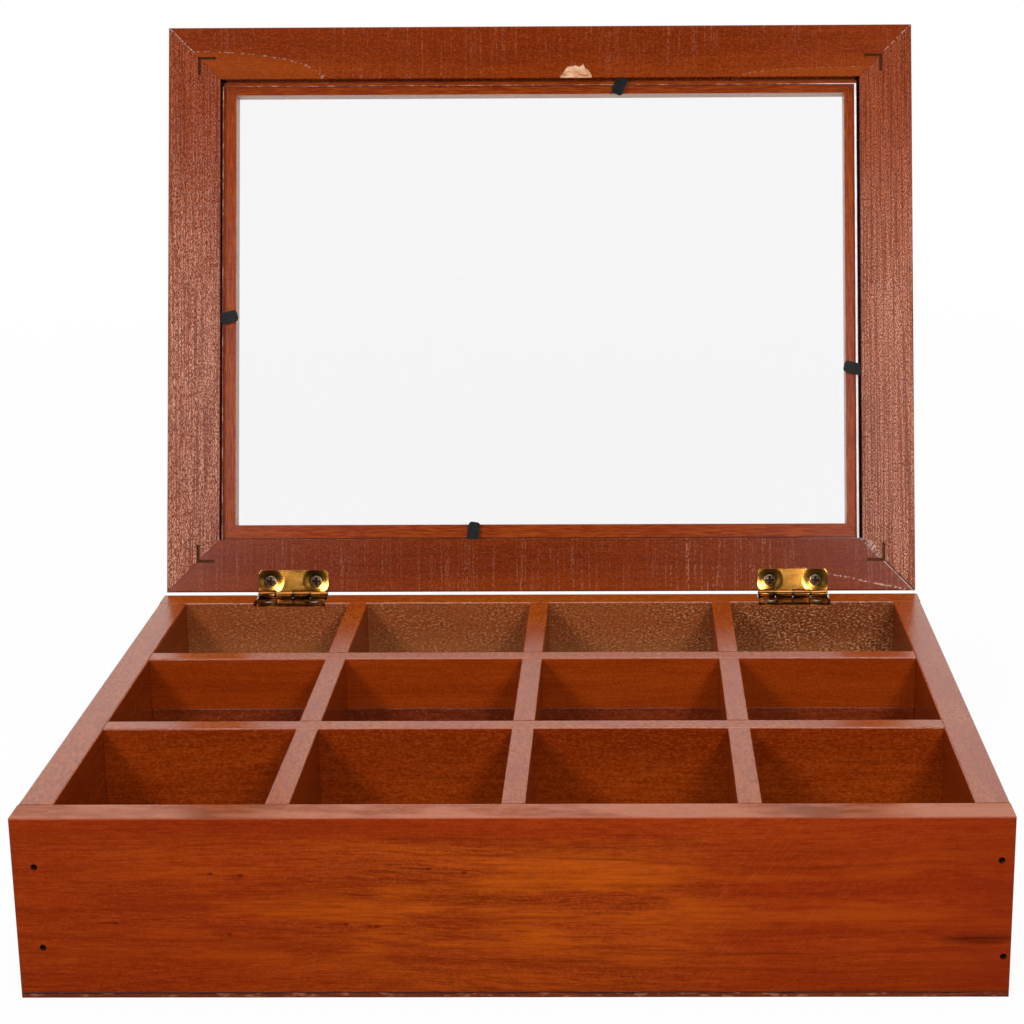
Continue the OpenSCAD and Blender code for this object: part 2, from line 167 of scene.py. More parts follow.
class DIVBOX_PG_sizes(bpy.types.PropertyGroup):
    """Small sizes that soften and age the pieces"""

    arris: length_property("Board arris", "Width of the worn bevel along a board's edges", 0.22 * MM)
    rail_arris: length_property("Rail arris", "Width of the worn bevel along a lid rail's edges", 0.2 * MM)
    wobble: length_property(
        "Edge wobble", "How far the edges of the boards stray from a straight line", 0.07 * MM)
    glass_arris: length_property("Glass arris", "Width of the ground bevel round the pane", 0.35 * MM)
    arris_band: length_property("Ground band", "Width of the frosted band along the pane's edge", 0.8 * MM)
    pane_shift: length_property(
        "Pane shift", "How far the loose pane has slid to the left in its rabbet", 0.25 * MM, max=0.7 * MM)
    metal_arris: length_property("Metal arris", "Width of the bevel along stamped and bent metal", 0.1 * MM)
    mitre_gap: length_property(
        "Open mitre", "Gap at the outer corner of the one mitre that has opened", 0.5 * MM)
    chip_depth: length_property(
        "Chip depth", "Depth of the torn chip in the front rail of the lid", 0.35 * MM)


def colour_property(name, description, default):
    return bpy.props.FloatVectorProperty(
        name=name, description=description, default=default, subtype="COLOR", size=3, min=0.0, max=1.0)


class DIVBOX_PG_colours(bpy.types.PropertyGroup):
    """Colours of the stain, the metals and the stage"""

    amber: colour_property("Light stain", "Lightest figure of the stained wood", (0.335, 0.0470, 0.0030))
    russet: colour_property("Middle stain", "Body colour of the stained wood", (0.250, 0.0285, 0.0014))
    umber: colour_property("Dark stain", "Darkest streaks of the stained wood", (0.135, 0.0115, 0.0004))
    lid_light: colour_property(
        "Light lid stain", "Lightest figure of the lid's rails", (0.280, 0.0400, 0.0015))
    lid_middle: colour_property(
        "Middle lid stain", "Body colour of the lid's rails", (0.200, 0.0220, 0.0006))
    lid_dark: colour_property(
        "Dark lid stain", "Darkest streaks of the lid's rails", (0.100, 0.0110, 0.0005))
    top_tone: colour_property(
        "Worn top", "Rubbed stain on the upward faces of the box", (0.330, 0.064, 0.0050))
    # Bright flakes of torn wood: paler fibres, with painted glints.
    tear_light_glint: colour_property("Torn light", "Lightest flakes of torn wood", (0.66, 0.330, 0.160))
    tear_dark: colour_property("Torn dark", "Darkest pits of torn wood", (0.085, 0.022, 0.006))
    raw: colour_property("Raw wood", "Wood laid bare by a chip or a sharp edge", (0.66, 0.39, 0.23))
    brass: colour_property("Brass", "Plated brass of the hinges", (0.46, 0.200, 0.033))
    steel: colour_property("Steel", "Steel of the screws", (0.44, 0.29, 0.17))
    black: colour_property("Black steel", "Blackened steel of the points", (0.0035, 0.0035, 0.004))
    floor: colour_property("Floor", "Colour of the floor", (0.92, 0.92, 0.92))


class DIVBOX_PG_stage(bpy.types.PropertyGroup):
    """Lamps and camera"""

    key_power: bpy.props.FloatProperty(
        name="Key lamps", description="Power of each of the two front lamps",
        default=10.5, min=0.0, unit="POWER")
    key_size: bpy.props.FloatProperty(
        name="Key size", description="Width of each front lamp", default=0.29, min=0.01, unit="LENGTH")
    top_power: bpy.props.FloatProperty(
        name="Top lamp", description="Power of the wide lamp overhead", default=16.0, min=0.0, unit="POWER")
    ambient: bpy.props.FloatProperty(
        name="Ambient", description="Strength of the even light from all round", default=0.30, min=0.0)
    lens: bpy.props.FloatProperty(
        name="Lens", description="Focal length of the camera", default=76.43, min=1.0, unit="CAMERA")


# ---------------------------------------------------------------- node helpers


class Nodes:
    """Adds nodes to one tree. An input is given either as a value or as a socket to link."""

    def __init__(self, tree):
        self.tree = tree

    def put(self, socket, value):
        if isinstance(value, bpy.types.NodeSocket):
            self.tree.links.new(value, socket)
        else:
            socket.default_value = value

    def add(self, kind, inputs=None, **settings):
        node = self.tree.nodes.new(kind)
        for key, value in settings.items():
            setattr(node, key, value)
        for key, value in (inputs or {}).items():
            self.put(node.inputs[key], value)
        return node

    def math(self, operation, a, b=0.0, c=0.0):
        return self.add("ShaderNodeMath", {0: a, 1: b, 2: c}, operation=operation).outputs[0]

    def chain(self, operation, parts):
        """Takes the parts together, from the first to the last."""
        total = parts[0]
        for part in parts[1:]:
            total = self.math(operation, total, part)
        return total

    def times(self, *parts):
        return self.chain("MULTIPLY", parts)

    def plus(self, *parts):
        return self.chain("ADD", parts)

    def most(self, *parts):
        return self.chain("MAXIMUM", parts)

    def least(self, *parts):
        return self.chain("MINIMUM", parts)

    def minus(self, a, b):
        return self.math("SUBTRACT", a, b)

    def over(self, a, b):
        return self.math("DIVIDE", a, b)

    def size(self, a):
        return self.math("ABSOLUTE", a)

    def distance(self, a, b):
        """How far a point with these two coordinates lies from the origin."""
        return self.math("SQRT", self.plus(self.times(a, a), self.times(b, b)))

    def vector(self, operation, a, b=(0.0, 0.0, 0.0)):
        return self.add("ShaderNodeVectorMath", {0: a, 1: b}, operation=operation).outputs[0]

    def stretch(self, vector, scale):
        return self.vector("MULTIPLY", vector, scale)

    def mapped(self, vector, turn, shift=(0.0, 0.0, 0.0)):
        """A vector turned about the axes and then shifted."""
        node = self.add("ShaderNodeMapping", {"Vector": vector, "Rotation": turn, "Location": shift})
        return node.outputs[0]

    def place(self):
        return self.add("ShaderNodeTexCoord").outputs["Object"]

    def attribute(self, name):
        return self.add("ShaderNodeAttribute", attribute_name=name).outputs["Fac"]

    def noise(self, vector, scale=1.0, detail=2.0, roughness=0.5, colour=False):
        """Noise about so many times to the metre: one number, or one for each axis."""
        if isinstance(scale, tuple):
            vector, scale = self.stretch(vector, scale), 1.0
        node = self.add("ShaderNodeTexNoise",
                        {"Vector": vector, "Scale": scale, "Detail": detail, "Roughness": roughness})
        return node.outputs["Color" if colour else "Fac"]

    def between(self, value, low, high, to_low=0.0, to_high=1.0):
        """Eases from to_low, where the value is low, to to_high, where it is high."""
        ends = {"From Min": low, "From Max": high, "To Min": to_low, "To Max": to_high}
        node = self.add("ShaderNodeMapRange", {"Value": value, **ends}, interpolation_type="SMOOTHSTEP")
        return node.outputs["Result"]

    def mix(self, factor, a, b, blend="MIX"):
        node = self.add("ShaderNodeMix", data_type="RGBA", blend_type=blend)
        self.put(node.inputs[0], factor)
        self.put(node.inputs[6], a)
        self.put(node.inputs[7], b)
        return node.outputs[2]

    def split(self, vector):
        return self.add("ShaderNodeSeparateXYZ", {0: vector}).outputs


def rgba(colour):
    return (colour[0], colour[1], colour[2], 1.0)


def shader_group(name, inputs, outputs):
    """A new node group with the given sockets. Returns its Nodes, its inputs and its output node."""
    tree = bpy.data.node_groups.new(name, "ShaderNodeTree")
    for label, kind, default in inputs:
        socket = tree.interface.new_socket(name=label, in_out="INPUT", socket_type=kind)
        if default is not None:
            socket.default_value = default
    for label, kind in outputs:
        tree.interface.new_socket(name=label, in_out="OUTPUT", socket_type=kind)
    nodes = Nodes(tree)
    return nodes, nodes.add("NodeGroupInput").outputs, nodes.add("NodeGroupOutput")


FLOAT, COLOUR, VECTOR = "NodeSocketFloat", "NodeSocketColor", "NodeSocketVector"


def grain_group():
    """Stained wood whose fibres run along X: soft figure, fine fibre lines with painted highlights, grit with
    painted glints and short dark pores.
    """
    n, given, out = shader_group(
        "Stained Grain",
        [("Vector", VECTOR, None), ("Light", COLOUR, (0.4, 0.1, 0.02, 1)),
         ("Middle", COLOUR, (0.3, 0.05, 0.01, 1)), ("Dark", COLOUR, (0.1, 0.02, 0.01, 1)),
         ("Figure", FLOAT, 1.0), ("Fibre", FLOAT, 0.4), ("Pores", FLOAT, 0.5), ("Blotch", FLOAT, 0.4),
         ("Grit", FLOAT, 0.3)],
        [("Color", COLOUR), ("Height", FLOAT), ("Fleck", FLOAT)])
    v = given["Vector"]
    drift = n.vector("SUBTRACT", n.noise(v, (5, 15, 15), colour=True), (0.5, 0.5, 0.5))
    bent = n.vector("ADD", v, n.stretch(drift, (0.0, 0.016, 0.016)))
    figure = n.between(n.noise(bent, (2.6, 58, 58), detail=4, roughness=0.62), 0.36, 0.66)
    fibre = n.noise(bent, (11, 760, 760), detail=3, roughness=0.65)
    pore = n.between(n.noise(bent, (110, 2100, 2100), detail=1), 0.66, 0.74)
    blotch = n.between(n.noise(v, (8, 24, 24), detail=3), 0.46, 0.72)
    grit = n.noise(v, (1000, 1500, 1500), detail=2, roughness=0.6)
    colour = n.mix(n.times(figure, given["Figure"]), given["Middle"], given["Light"])
    colour = n.mix(n.times(blotch, given["Blotch"]), colour, given["Dark"])
    dark_line = n.between(fibre, 0.54, 0.34)
    colour = n.mix(n.times(dark_line, given["Fibre"]), colour, given["Dark"])
    hair = n.noise(bent, (150, 1900, 1900), detail=2, roughness=0.6)
    colour = n.mix(n.times(n.between(hair, 0.50, 0.36), given["Fibre"]), colour, given["Dark"])
    # Pale fine fibres: painted highlights.
    colour = n.mix(n.times(n.between(hair, 0.54, 0.68), n.times(given["Fibre"], 0.8)), colour,
                   n.mix(1.0, given["Light"], HAIR_HIGHLIGHT, "MULTIPLY"))
    colour = n.mix(n.times(n.between(grit, 0.50, 0.32), given["Grit"]), colour, given["Dark"])
    # Pale grit: painted glints.
    colour = n.mix(n.times(n.between(grit, 0.52, 0.70), n.times(given["Grit"], 0.7)), colour,
                   n.mix(1.0, given["Light"], GRIT_GLINT, "MULTIPLY"))
    colour = n.mix(n.times(pore, given["Pores"]), colour, n.mix(1.0, given["Dark"], DARK_PORE, "MULTIPLY"))
    height = n.minus(n.plus(n.times(fibre, 0.6), n.times(grit, 0.5)), n.times(pore, 0.4))
    n.put(out.inputs["Color"], colour)
    n.put(out.inputs["Height"], height)
    n.put(out.inputs["Fleck"], grit)
    return n.tree


def tool_group():
    """Fine broken lines of a cutter, square across X, stronger in some places than in others."""
    n, given, out = shader_group(
        "Cutter Marks", [("Vector", VECTOR, None), ("Spread", FLOAT, 0.5)],
        [("Mask", FLOAT), ("Height", FLOAT)])
    v = given["Vector"]
    line = n.noise(v, (1250, 22, 22), detail=2, roughness=0.6)
    broken = n.noise(v, (1400, 700, 700), detail=1)
    patch = n.between(n.noise(v, (26, 50, 50), detail=2), n.minus(0.75, given["Spread"]), 0.75)
    mark = n.times(n.between(line, 0.52, 0.66), n.between(broken, 0.42, 0.58))
    n.put(out.inputs["Mask"], n.times(mark, patch))
    n.put(out.inputs["Height"], n.times(n.plus(line, n.times(broken, 0.5)), patch))
    return n.tree


def tearout_group():
    """The torn skin that a blunt cutter leaves on wood, with painted sparkle: bright flakes, partly paler
    fibres and partly painted glints, beside dark pits.
    """
    n, given, out = shader_group(
        "Torn Grain", [("Vector", VECTOR, None), ("Amount", FLOAT, 1.0)],
        [("Height", FLOAT), ("Flake", FLOAT), ("Pit", FLOAT)])
    v = given["Vector"]
    slant = n.mapped(v, (0.0, math.radians(14), 0.0))
    flake = n.noise(slant, (820, 1500, 1500), detail=2, roughness=0.6)
    cluster = n.between(n.noise(v, (60, 130, 130), detail=2), 0.32, 0.62, 0.45, 1.0)
    share = n.times(cluster, given["Amount"])
    n.put(out.inputs["Height"], n.times(flake, share))
    n.put(out.inputs["Flake"], n.times(n.between(flake, 0.53, 0.63), share))
    n.put(out.inputs["Pit"], n.times(n.between(flake, 0.47, 0.38), share))
    return n.tree


GROUPS = {}


def group_node(nodes, name, inputs):
    makers = {"grain": grain_group, "tool": tool_group, "torn": tearout_group}
    if name not in GROUPS:
        GROUPS[name] = makers[name]()
    node = nodes.add("ShaderNodeGroup", node_tree=GROUPS[name])
    for key, value in inputs.items():
        nodes.put(node.inputs[key], value)
    return node.outputs


def fresh_material(name):
    material = bpy.data.materials.new(name)
    material.use_nodes = True
    tree = material.node_tree
    tree.nodes.clear()
    nodes = Nodes(tree)
    shader = nodes.add("ShaderNodeBsdfPrincipled")
    nodes.add("ShaderNodeOutputMaterial", {"Surface": shader.outputs[0]})
    return material, nodes, shader


def bump(nodes, height, distance, normal=None):
    inputs = {"Height": height, "Distance": distance}
    if normal is not None:
        inputs["Normal"] = normal
    return nodes.add("ShaderNodeBump", inputs).outputs[0]


# ---------------------------------------------------------------- wood

# Turns that bring a board's fibres to X, for the box and for the open lid.
ALONG_X = (0.0, 0.0, 0.0)
ALONG_Y = (0.0, 0.0, -math.pi / 2)
LID_ALONG_X = (OPEN_ANGLE, 0.0, 0.0)
LID_ALONG_Y = (OPEN_ANGLE, 0.0, -math.pi / 2)


def board_vector(n, turn, seed):
    """Object coordinates turned so that the fibres run along X, and shifted so that no two boards match."""
    return n.mapped(n.place(), turn, (0.371 * seed, 0.113 * seed, 0.217 * seed))


def lid_vector(n):
    """Coordinates of the closed lid, whatever the angle at which it rests."""
    return n.mapped(n.place(), LID_ALONG_X, -(Matrix.Rotation(OPEN_ANGLE, 3, "X") @ PIN))


def wood(name, turn, seed, palette, figure=1.0, fibre=0.35, pores=0.2, blotch=0.35, grit=0.35, roughness=0.22,
         specular=0.5, relief=0.000015, wear=0.35, shade=1.0, layers=None):
    """Stained and varnished wood. layers may change the colour, height and roughness."""
    c = bpy.context.scene.divbox_colours
    light, middle, dark = (rgba(shade * Vector(getattr(c, key))) for key in palette)
    material, n, shader = fresh_material(name)
    v = board_vector(n, turn, seed)
    grain = group_node(n, "grain", {"Vector": v, "Light": light, "Middle": middle, "Dark": dark,
                                    "Figure": figure, "Fibre": fibre, "Pores": pores, "Blotch": blotch,
                                    "Grit": grit})
    colour, height = grain["Color"], grain["Height"]
    rough = n.between(grain["Fleck"], 0.3, 0.7, roughness - 0.04, roughness + 0.05)
    if layers:
        colour, height, rough = layers(n, v, colour, height, rough)
    worn = n.attribute("wear")
    colour = n.mix(n.times(worn, wear), colour, dark)
    rough = n.most(rough, n.times(worn, 0.45))
    n.put(shader.inputs["Base Color"], colour)
    n.put(shader.inputs["Roughness"], rough)
    n.put(shader.inputs["Normal"], bump(n, height, relief))
    shader.inputs["IOR"].default_value = 1.5
    shader.inputs["Specular IOR Level"].default_value = specular
    return material


STAIN = ("amber", "russet", "umber")
LID_STAIN = ("lid_light", "lid_middle", "lid_dark")


# ---------------------------------------------------------------- mesh helpers


def merged_copy(node):
    """A bmesh of a CAD node with its doubles merged and its flat faces whole."""
    bm = bmesh.new()
    bm.from_mesh(frame["nodes"][node].data)
    bmesh.ops.remove_doubles(bm, verts=bm.verts, dist=1e-6)
    bmesh.ops.dissolve_limit(bm, angle_limit=math.radians(0.5), verts=bm.verts, edges=bm.edges)
    return bm


def soften(bm, width, shortest, sharpest=40.0):
    """Bevels every sharp edge that is long enough, and marks the new faces as worn."""
    worn = bm.faces.layers.float.new("wear")
    edges = [e for e in bm.edges if len(e.link_faces) == 2 and e.calc_length() >= shortest
             and e.calc_face_angle() > math.radians(sharpest)]
    made = bmesh.ops.bevel(bm, geom=edges, offset=width, offset_type="OFFSET", affect="EDGES",
                           segments=2, profile=0.5, material=-1, clamp_overlap=True)
    for face in made["faces"]:
        face[worn] = 1.0


def slices(bm, direction, start, stop, step, faces=None):
    """Cuts the mesh with evenly spaced planes square to a direction."""
    count = max(1, round((stop - start) / step))
    for k in range(1, count):
        at = direction * (start + (stop - start) * k / count)
        geom = bm.verts[:] + bm.edges[:] + bm.faces[:]
        if faces:
            inside = [f for f in bm.faces if faces(f)]
            geom = list({v for f in inside for v in f.verts} | {e for f in inside for e in f.edges}) + inside
        bmesh.ops.bisect_plane(bm, geom=geom, dist=1e-7, plane_co=at, plane_no=direction)


def wobble_edges(bm, amount, scale=70.0):
    """Draws the worn edges in by a little that changes along them."""
    worn = bm.faces.layers.float["wear"]
    bm.normal_update()
    for v in bm.verts:
        if any(f[worn] > 0.5 for f in v.link_faces):
            shift = 0.5 + 0.5 * noise.noise(v.co * scale) + 0.35 * noise.noise(v.co * scale * 4)
            v.co -= v.normal * amount * max(0.0, shift)


def finish_piece(bm, name, body, node_names, material, smooth=None):
    """Makes the object of a piece, gives it its body and material and hides what it stands for."""
    bmesh.ops.recalc_face_normals(bm, faces=bm.faces)
    mesh = bpy.data.meshes.new(name)
    bm.to_mesh(mesh)
    bm.free()
    piece = bpy.data.objects.new(name, mesh)
    bpy.context.scene.collection.objects.link(piece)
    mesh.materials.append(material)
    if smooth is None:
        mesh.shade_flat()
    else:
        mesh.shade_smooth()
        mesh.set_sharp_from_angle(angle=math.radians(smooth))
        weighted = piece.modifiers.new("Weighted normals", "WEIGHTED_NORMAL")
        weighted.keep_sharp = True
    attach(piece, body)
    if node_names:
        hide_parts(*node_names)
    return piece


def give(node, material):
    """Gives a CAD node its material."""
    mesh = frame["nodes"][node].data
    mesh.materials.clear()
    mesh.materials.append(material)


def board(name, node, along, material):
    """A box board with worn edges that are not quite straight."""
    sizes = bpy.context.scene.divbox_sizes
    bm = merged_copy(node)
    soften(bm, sizes.arris, 6 * MM)
    low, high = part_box(node)
    axis = AXES[along]
    slices(bm, axis, low.dot(axis), high.dot(axis), 5 * MM)
    wobble_edges(bm, sizes.wobble)
    return finish_piece(bm, name, BOX, [node], material)


# ---------------------------------------------------------------- operators: box


def object_place(n):
    """X, Y and Z of the frame, as the part rests."""
    return n.split(n.place())


def on_top(n, z):
    """1 on the upward faces of the box."""
    return n.between(z, BOX_TOP - 0.5 * MM, BOX_TOP - 0.15 * MM)


def rubbed_top(n, v, colour, height, rough):
    """Upward faces are rubbed lighter in patches, with their finest grain raised."""
    top = on_top(n, object_place(n)[2])
    patchy = n.between(n.noise(v, (30, 90, 90), detail=3), 0.34, 0.60, 0.45, 1.0)
    tone = rgba(bpy.context.scene.divbox_colours.top_tone)
    fine = n.between(n.noise(v, (500, 1300, 1300), detail=3, roughness=0.65), 0.36, 0.62)
    tone = n.mix(fine, n.mix(1.0, tone, TOP_DIM, "MULTIPLY"), n.mix(1.0, tone, TOP_BRIGHT, "MULTIPLY"))
    colour = n.mix(n.times(top, patchy), colour, tone)
    height = n.plus(height, n.times(top, fine, 0.7))
    return colour, height, rough


def spots(n, across, along, places, width, depth):
    """Strength of soft spots at places in millimetres. Their half width and half depth are in metres."""
    each = []
    for x, z in places:
        dx = n.over(n.minus(across, x * MM), width)
        dz = n.over(n.minus(along, z * MM), depth)
        each.append(n.between(n.distance(dx, dz), 1.0, 0.2))
    return n.most(*each)


# Marks of the show face, in millimetres across it and up from the floor. Pin knots are places. A
# streak has its height, half height and strength. A darker mark has its place, half width, half
# height and strength.
KNOTS = ((-90.6, 40.8), (-81.6, 40.3), (-25.0, 42.3), (-14.5, 41.1), (-50.4, 24.3), (-41.0, 23.6),
         (-85.8, 21.0), (-119.9, 24.7))
STREAKS = ((19.5, 1.3, 0.80), (15.0, 3.0, 0.50), (27.5, 4.0, 0.35), (50.0, 3.0, 0.35), (45.5, 0.7, 0.55),
           (6.0, 3.0, 0.35))
DARK_MARKS = (((141.0, 19.3), 17.0, 2.6, 1.0), ((88.0, 50.0), 24.0, 0.9, 0.4),
              ((36.0, 37.0), 18.0, 1.2, 0.35), ((110.0, 5.0), 60.0, 5.5, 0.2))

# How far the streaks wander up and down, how steeply they fall, and the slant of the scratches.
STREAK_WANDER = 22 * MM
STREAK_SLOPE = 0.020
SAND_ANGLE = math.radians(-38)


def front_marks(n, v, colour, height, rough):
    """The show face and its top edge, with all that marks them."""
    colour, height, rough = rubbed_top(n, v, colour, height, rough)
    x, y, z = object_place(n)
    colour = front_edge(n, v, colour, x, z)
    face = n.between(y, FRONT_FACE + 0.5 * MM, FRONT_FACE + 0.2 * MM)
    fine = n.between(n.noise(v, (12, 620, 620), detail=3, roughness=0.7), 0.42, 0.60, 0.15, 1.0)
    colour = front_figure(n, v, colour, x, z, face, fine)
    colour = front_knots(n, colour, x, z, face, fine)
    colour = front_scratches(n, v, colour, x, face)
    return colour, height, rough


def front_edge(n, v, colour, x, z):
    """The top edge of the show face: painted sheen in paler patches, and towards each end a duller patch, a
    painted reflection of the dark lid.
    """
    top = on_top(n, z)
    painted_sheen = n.between(n.noise(v, (24, 70, 70), detail=3, roughness=0.6), 0.36, 0.54, 0.12, 0.55)
    colour = n.mix(n.times(top, painted_sheen), colour, TOP_SHEEN_PALE)
    # Dull patches: painted reflection of the dark lid where the sheen gives way.
    dull = n.most(near(n, x, -85 * MM, 22 * MM), near(n, x, 94 * MM, 26 * MM))
    dull = n.times(dull, n.between(n.noise(v, (60, 200, 200), detail=3), 0.35, 0.60, 0.3, 1.0))
    return n.mix(n.times(top, dull, 0.9), colour, LID_REFLECTION_DULL)


def front_figure(n, v, colour, x, z, face, fine):
    """Light flames in the middle, deeper red round them, dark streaks and a red right end."""
    drift = n.noise(v, (6, 12, 12), detail=3)
    level = n.plus(z, n.times(n.minus(drift, 0.5), STREAK_WANDER))
    level = n.plus(level, n.times(x, STREAK_SLOPE))
    bands = []
    for middle, half, strength in STREAKS:
        off = n.size(n.minus(level, middle * MM))
        bands.append(n.times(n.between(off, half * MM, 0.0), strength))
    flame = n.between(n.noise(v, (14, 85, 85), detail=5, roughness=0.65), 0.42, 0.62)
    core = n.between(n.size(n.minus(z, 30 * MM)), 27 * MM, 8 * MM, 0.15, 1.0)
    glow = n.times(flame, core, n.between(x, -150 * MM, -60 * MM, 0.45, 1.0))
    glow = n.times(glow, n.between(n.noise(v, (60, 1100, 1100), detail=3), 0.34, 0.58, 0.45, 1.0))
    colour = n.mix(n.times(glow, face, 0.6), colour, FLAME)
    deep = n.most(n.between(x, -30 * MM, -90 * MM, 0.0, 0.36), n.between(x, 30 * MM, 80 * MM, 0.0, 0.5))
    deep = n.most(deep, n.between(z, 48 * MM, 55 * MM, 0.0, 0.45))
    colour = n.mix(n.times(deep, face), colour, DEEP_RED)
    umber = rgba(bpy.context.scene.divbox_colours.umber)
    colour = n.mix(n.times(n.plus(*bands), fine, face), colour, umber)
    end = n.times(n.between(x, 118 * MM, 146 * MM), n.between(drift, 0.40, 0.60, 0.3, 1.0))
    return n.mix(n.times(end, face, 0.55), colour, RED_END)


def front_knots(n, colour, x, z, face, fine):
    """Thready darker marks, and pin knots with a tail to their left."""
    umber = Vector(bpy.context.scene.divbox_colours.umber)
    thready = n.math("MULTIPLY_ADD", fine, 0.55, 0.45)
    for spot, width, depth, strength in DARK_MARKS:
        mark = n.times(spots(n, x, z, [spot], width * MM, depth * MM), thready, face)
        colour = n.mix(n.times(mark, strength), colour, rgba(0.5 * umber))
    knot = spots(n, x, z, KNOTS, 1.5 * MM, 0.75 * MM)
    tail = spots(n, n.plus(x, 2.6 * MM), z, KNOTS, 4.5 * MM, 0.5 * MM)
    mark = n.times(n.most(n.times(knot, 0.75), n.times(tail, 0.35)), face)
    return n.mix(mark, colour, rgba(0.45 * umber))


def front_scratches(n, v, colour, x, face):
    """Faint slanting sanding scratches in patches right of the middle."""
    scratch = n.noise(n.mapped(v, (0.0, SAND_ANGLE, 0.0)), (1700, 150, 130), detail=1)
    patch = n.times(n.between(n.noise(v, (12, 12, 22), detail=1), 0.46, 0.60),
                    n.times(n.between(x, -10 * MM, 30 * MM), n.between(x, 125 * MM, 85 * MM)))
    mark = n.times(n.between(scratch, 0.58, 0.72), patch)
    return n.mix(n.times(mark, face, 0.08), colour, SANDED)


def back_marks(n, v, colour, height, rough):
    """Torn grain on the inner face, rougher towards the right."""
    c = bpy.context.scene.divbox_colours
    colour, height, rough = rubbed_top(n, v, colour, height, rough)
    x, y, z = object_place(n)
    inner = n.between(y, BACK_INNER + 0.4 * MM, BACK_INNER + 0.1 * MM)
    amount = n.times(inner, n.between(x, 20 * MM, 100 * MM, 0.50, 1.0))
    torn = group_node(n, "torn", {"Vector": v, "Amount": amount})
    colour = n.mix(n.times(inner, 0.40), colour, BACK_BROWN)
    low = n.between(z, 50 * MM, 36 * MM)
    colour = n.mix(n.times(inner, low, 0.35), colour, BACK_PALE)
    high = n.times(inner, n.minus(1.0, low), n.between(x, 50 * MM, 100 * MM))
    colour = n.mix(n.times(high, 0.45), colour, rgba(c.tear_dark))
    colour = n.mix(n.times(torn["Pit"], 0.85), colour, rgba(c.tear_dark))
    # Bright flakes: paler torn fibres with painted glints.
    colour = n.mix(n.times(torn["Flake"], 0.85), colour, rgba(c.tear_light_glint))
    height = n.plus(height, n.times(torn["Height"], 12.0))
    return colour, height, rough


class DIVBOX_OT_walls(bpy.types.Operator):
    """Builds the four walls, the back one torn by the cutter on its inner face"""

    bl_idname = "divbox.walls"
    bl_label = "Walls"

    def execute(self, context):
        board("wall_front", "front_board", "X",
              wood("front wall", ALONG_X, 1.0, STAIN, fibre=0.55, blotch=0.30, grit=0.30, pores=0.45,
                   shade=0.84, specular=0.10, layers=front_marks))
        board("wall_back", "back_board", "X",
              wood("back wall", ALONG_X, 2.0, STAIN, fibre=0.35, blotch=0.3, layers=back_marks))
        board("wall_left", "left_side_board", "Y",
              wood("left wall", ALONG_Y, 3.0, STAIN, fibre=0.3, layers=rubbed_top))
        board("wall_right", "right_side_board", "Y",
              wood("right wall", ALONG_Y, 4.0, STAIN, fibre=0.3, layers=rubbed_top))
        return {"FINISHED"}


def ply_edge(n, v, colour, height, rough):
    """The edge of the thin panel: a dark glue line above a paler ply, and a dark line along its bottom edge.
    """
    z = object_place(n)[2]
    wander = n.times(n.minus(n.noise(v, (120, 120, 120), detail=2), 0.5), 0.0009)
    level = n.plus(z, wander)
    dark_lines = n.between(n.size(n.minus(level, 1.75 * MM)), 0.35 * MM, 0.1 * MM)
    # Darker along the bottom edge too.
    dark_lines = n.most(dark_lines, n.between(level, 0.45 * MM, 0.2 * MM))
    nick = n.between(n.noise(v, (300, 900, 900), detail=2), 0.55, 0.68)
    colour = n.mix(n.times(nick, 0.5), colour, PLY_NICK)
    colour = n.mix(n.times(dark_lines, 0.9), colour, DARK_LINE)
    return colour, height, rough


class DIVBOX_OT_bottom(bpy.types.Operator):
    """Builds the thin bottom panel"""

    bl_idname = "divbox.bottom"
    bl_label = "Bottom panel"

    def execute(self, context):
        board("bottom", "bottom_panel", "X",
              wood("bottom panel", ALONG_X, 5.0, STAIN, figure=0.6, fibre=0.5, blotch=0.6, roughness=0.5,
                   specular=0.2, wear=0.7, shade=0.6, layers=ply_edge))
        return {"FINISHED"}


class DIVBOX_OT_dividers(bpy.types.Operator):
    """Builds the cross dividers and the long dividers"""

    bl_idname = "divbox.dividers"
    bl_label = "Dividers"

    def execute(self, context):
        board("divider_cross_front", "cross_divider_front", "X",
              wood("front cross divider", ALONG_X, 6.0, STAIN, fibre=0.3, grit=0.5, shade=1.02,
                   layers=rubbed_top))
        board("divider_cross_rear_upper", "cross_divider_rear_upper", "X",
              wood("rear cross divider", ALONG_X, 7.0, STAIN, fibre=0.2, blotch=0.2, grit=0.3, shade=1.08,
                   layers=rubbed_top))
        board("divider_cross_rear_lower", "cross_divider_rear_lower", "X",
              wood("rear cross divider base", ALONG_X, 8.0, STAIN, fibre=0.4, grit=0.8, blotch=0.7, shade=0.8,
                   roughness=0.35, wear=0.1))
        for k, side in enumerate(("left", "middle", "right")):
            board(f"divider_long_{side}", f"long_divider_{side}", "Y",
                  wood(f"{side} long divider", ALONG_Y, 9.0 + k, STAIN, fibre=0.3, layers=rubbed_top))
        return {"FINISHED"}


# ---------------------------------------------------------------- operators: lid


def lid_coordinates(bm):
    """Takes a mesh from the frame to the closed lid's coordinates."""
    bmesh.ops.transform(bm, matrix=TO_LID, verts=bm.verts)


def frame_coordinates(bm):
    """Takes a mesh back from the closed lid's coordinates to the frame."""
    bmesh.ops.transform(bm, matrix=FROM_LID, verts=bm.verts)


def lid_place(n):
    """X, depth from the hinge edge and Z of the closed lid."""
    x, y, z = n.split(lid_vector(n))
    return x, n.minus(LID_REAR, y), z


def short_of_back(n, z):
    """1 all through a rail but for its outer face, which carries none of the inner face's marks."""
    return n.between(z, LID_BACK - 0.3 * MM, LID_BACK - 1.0 * MM)


def near(n, value, middle, half):
    """1 where a value is at the middle, falling to 0 at half away from it."""
    return n.between(n.size(n.minus(value, middle)), half, 0.25 * half)


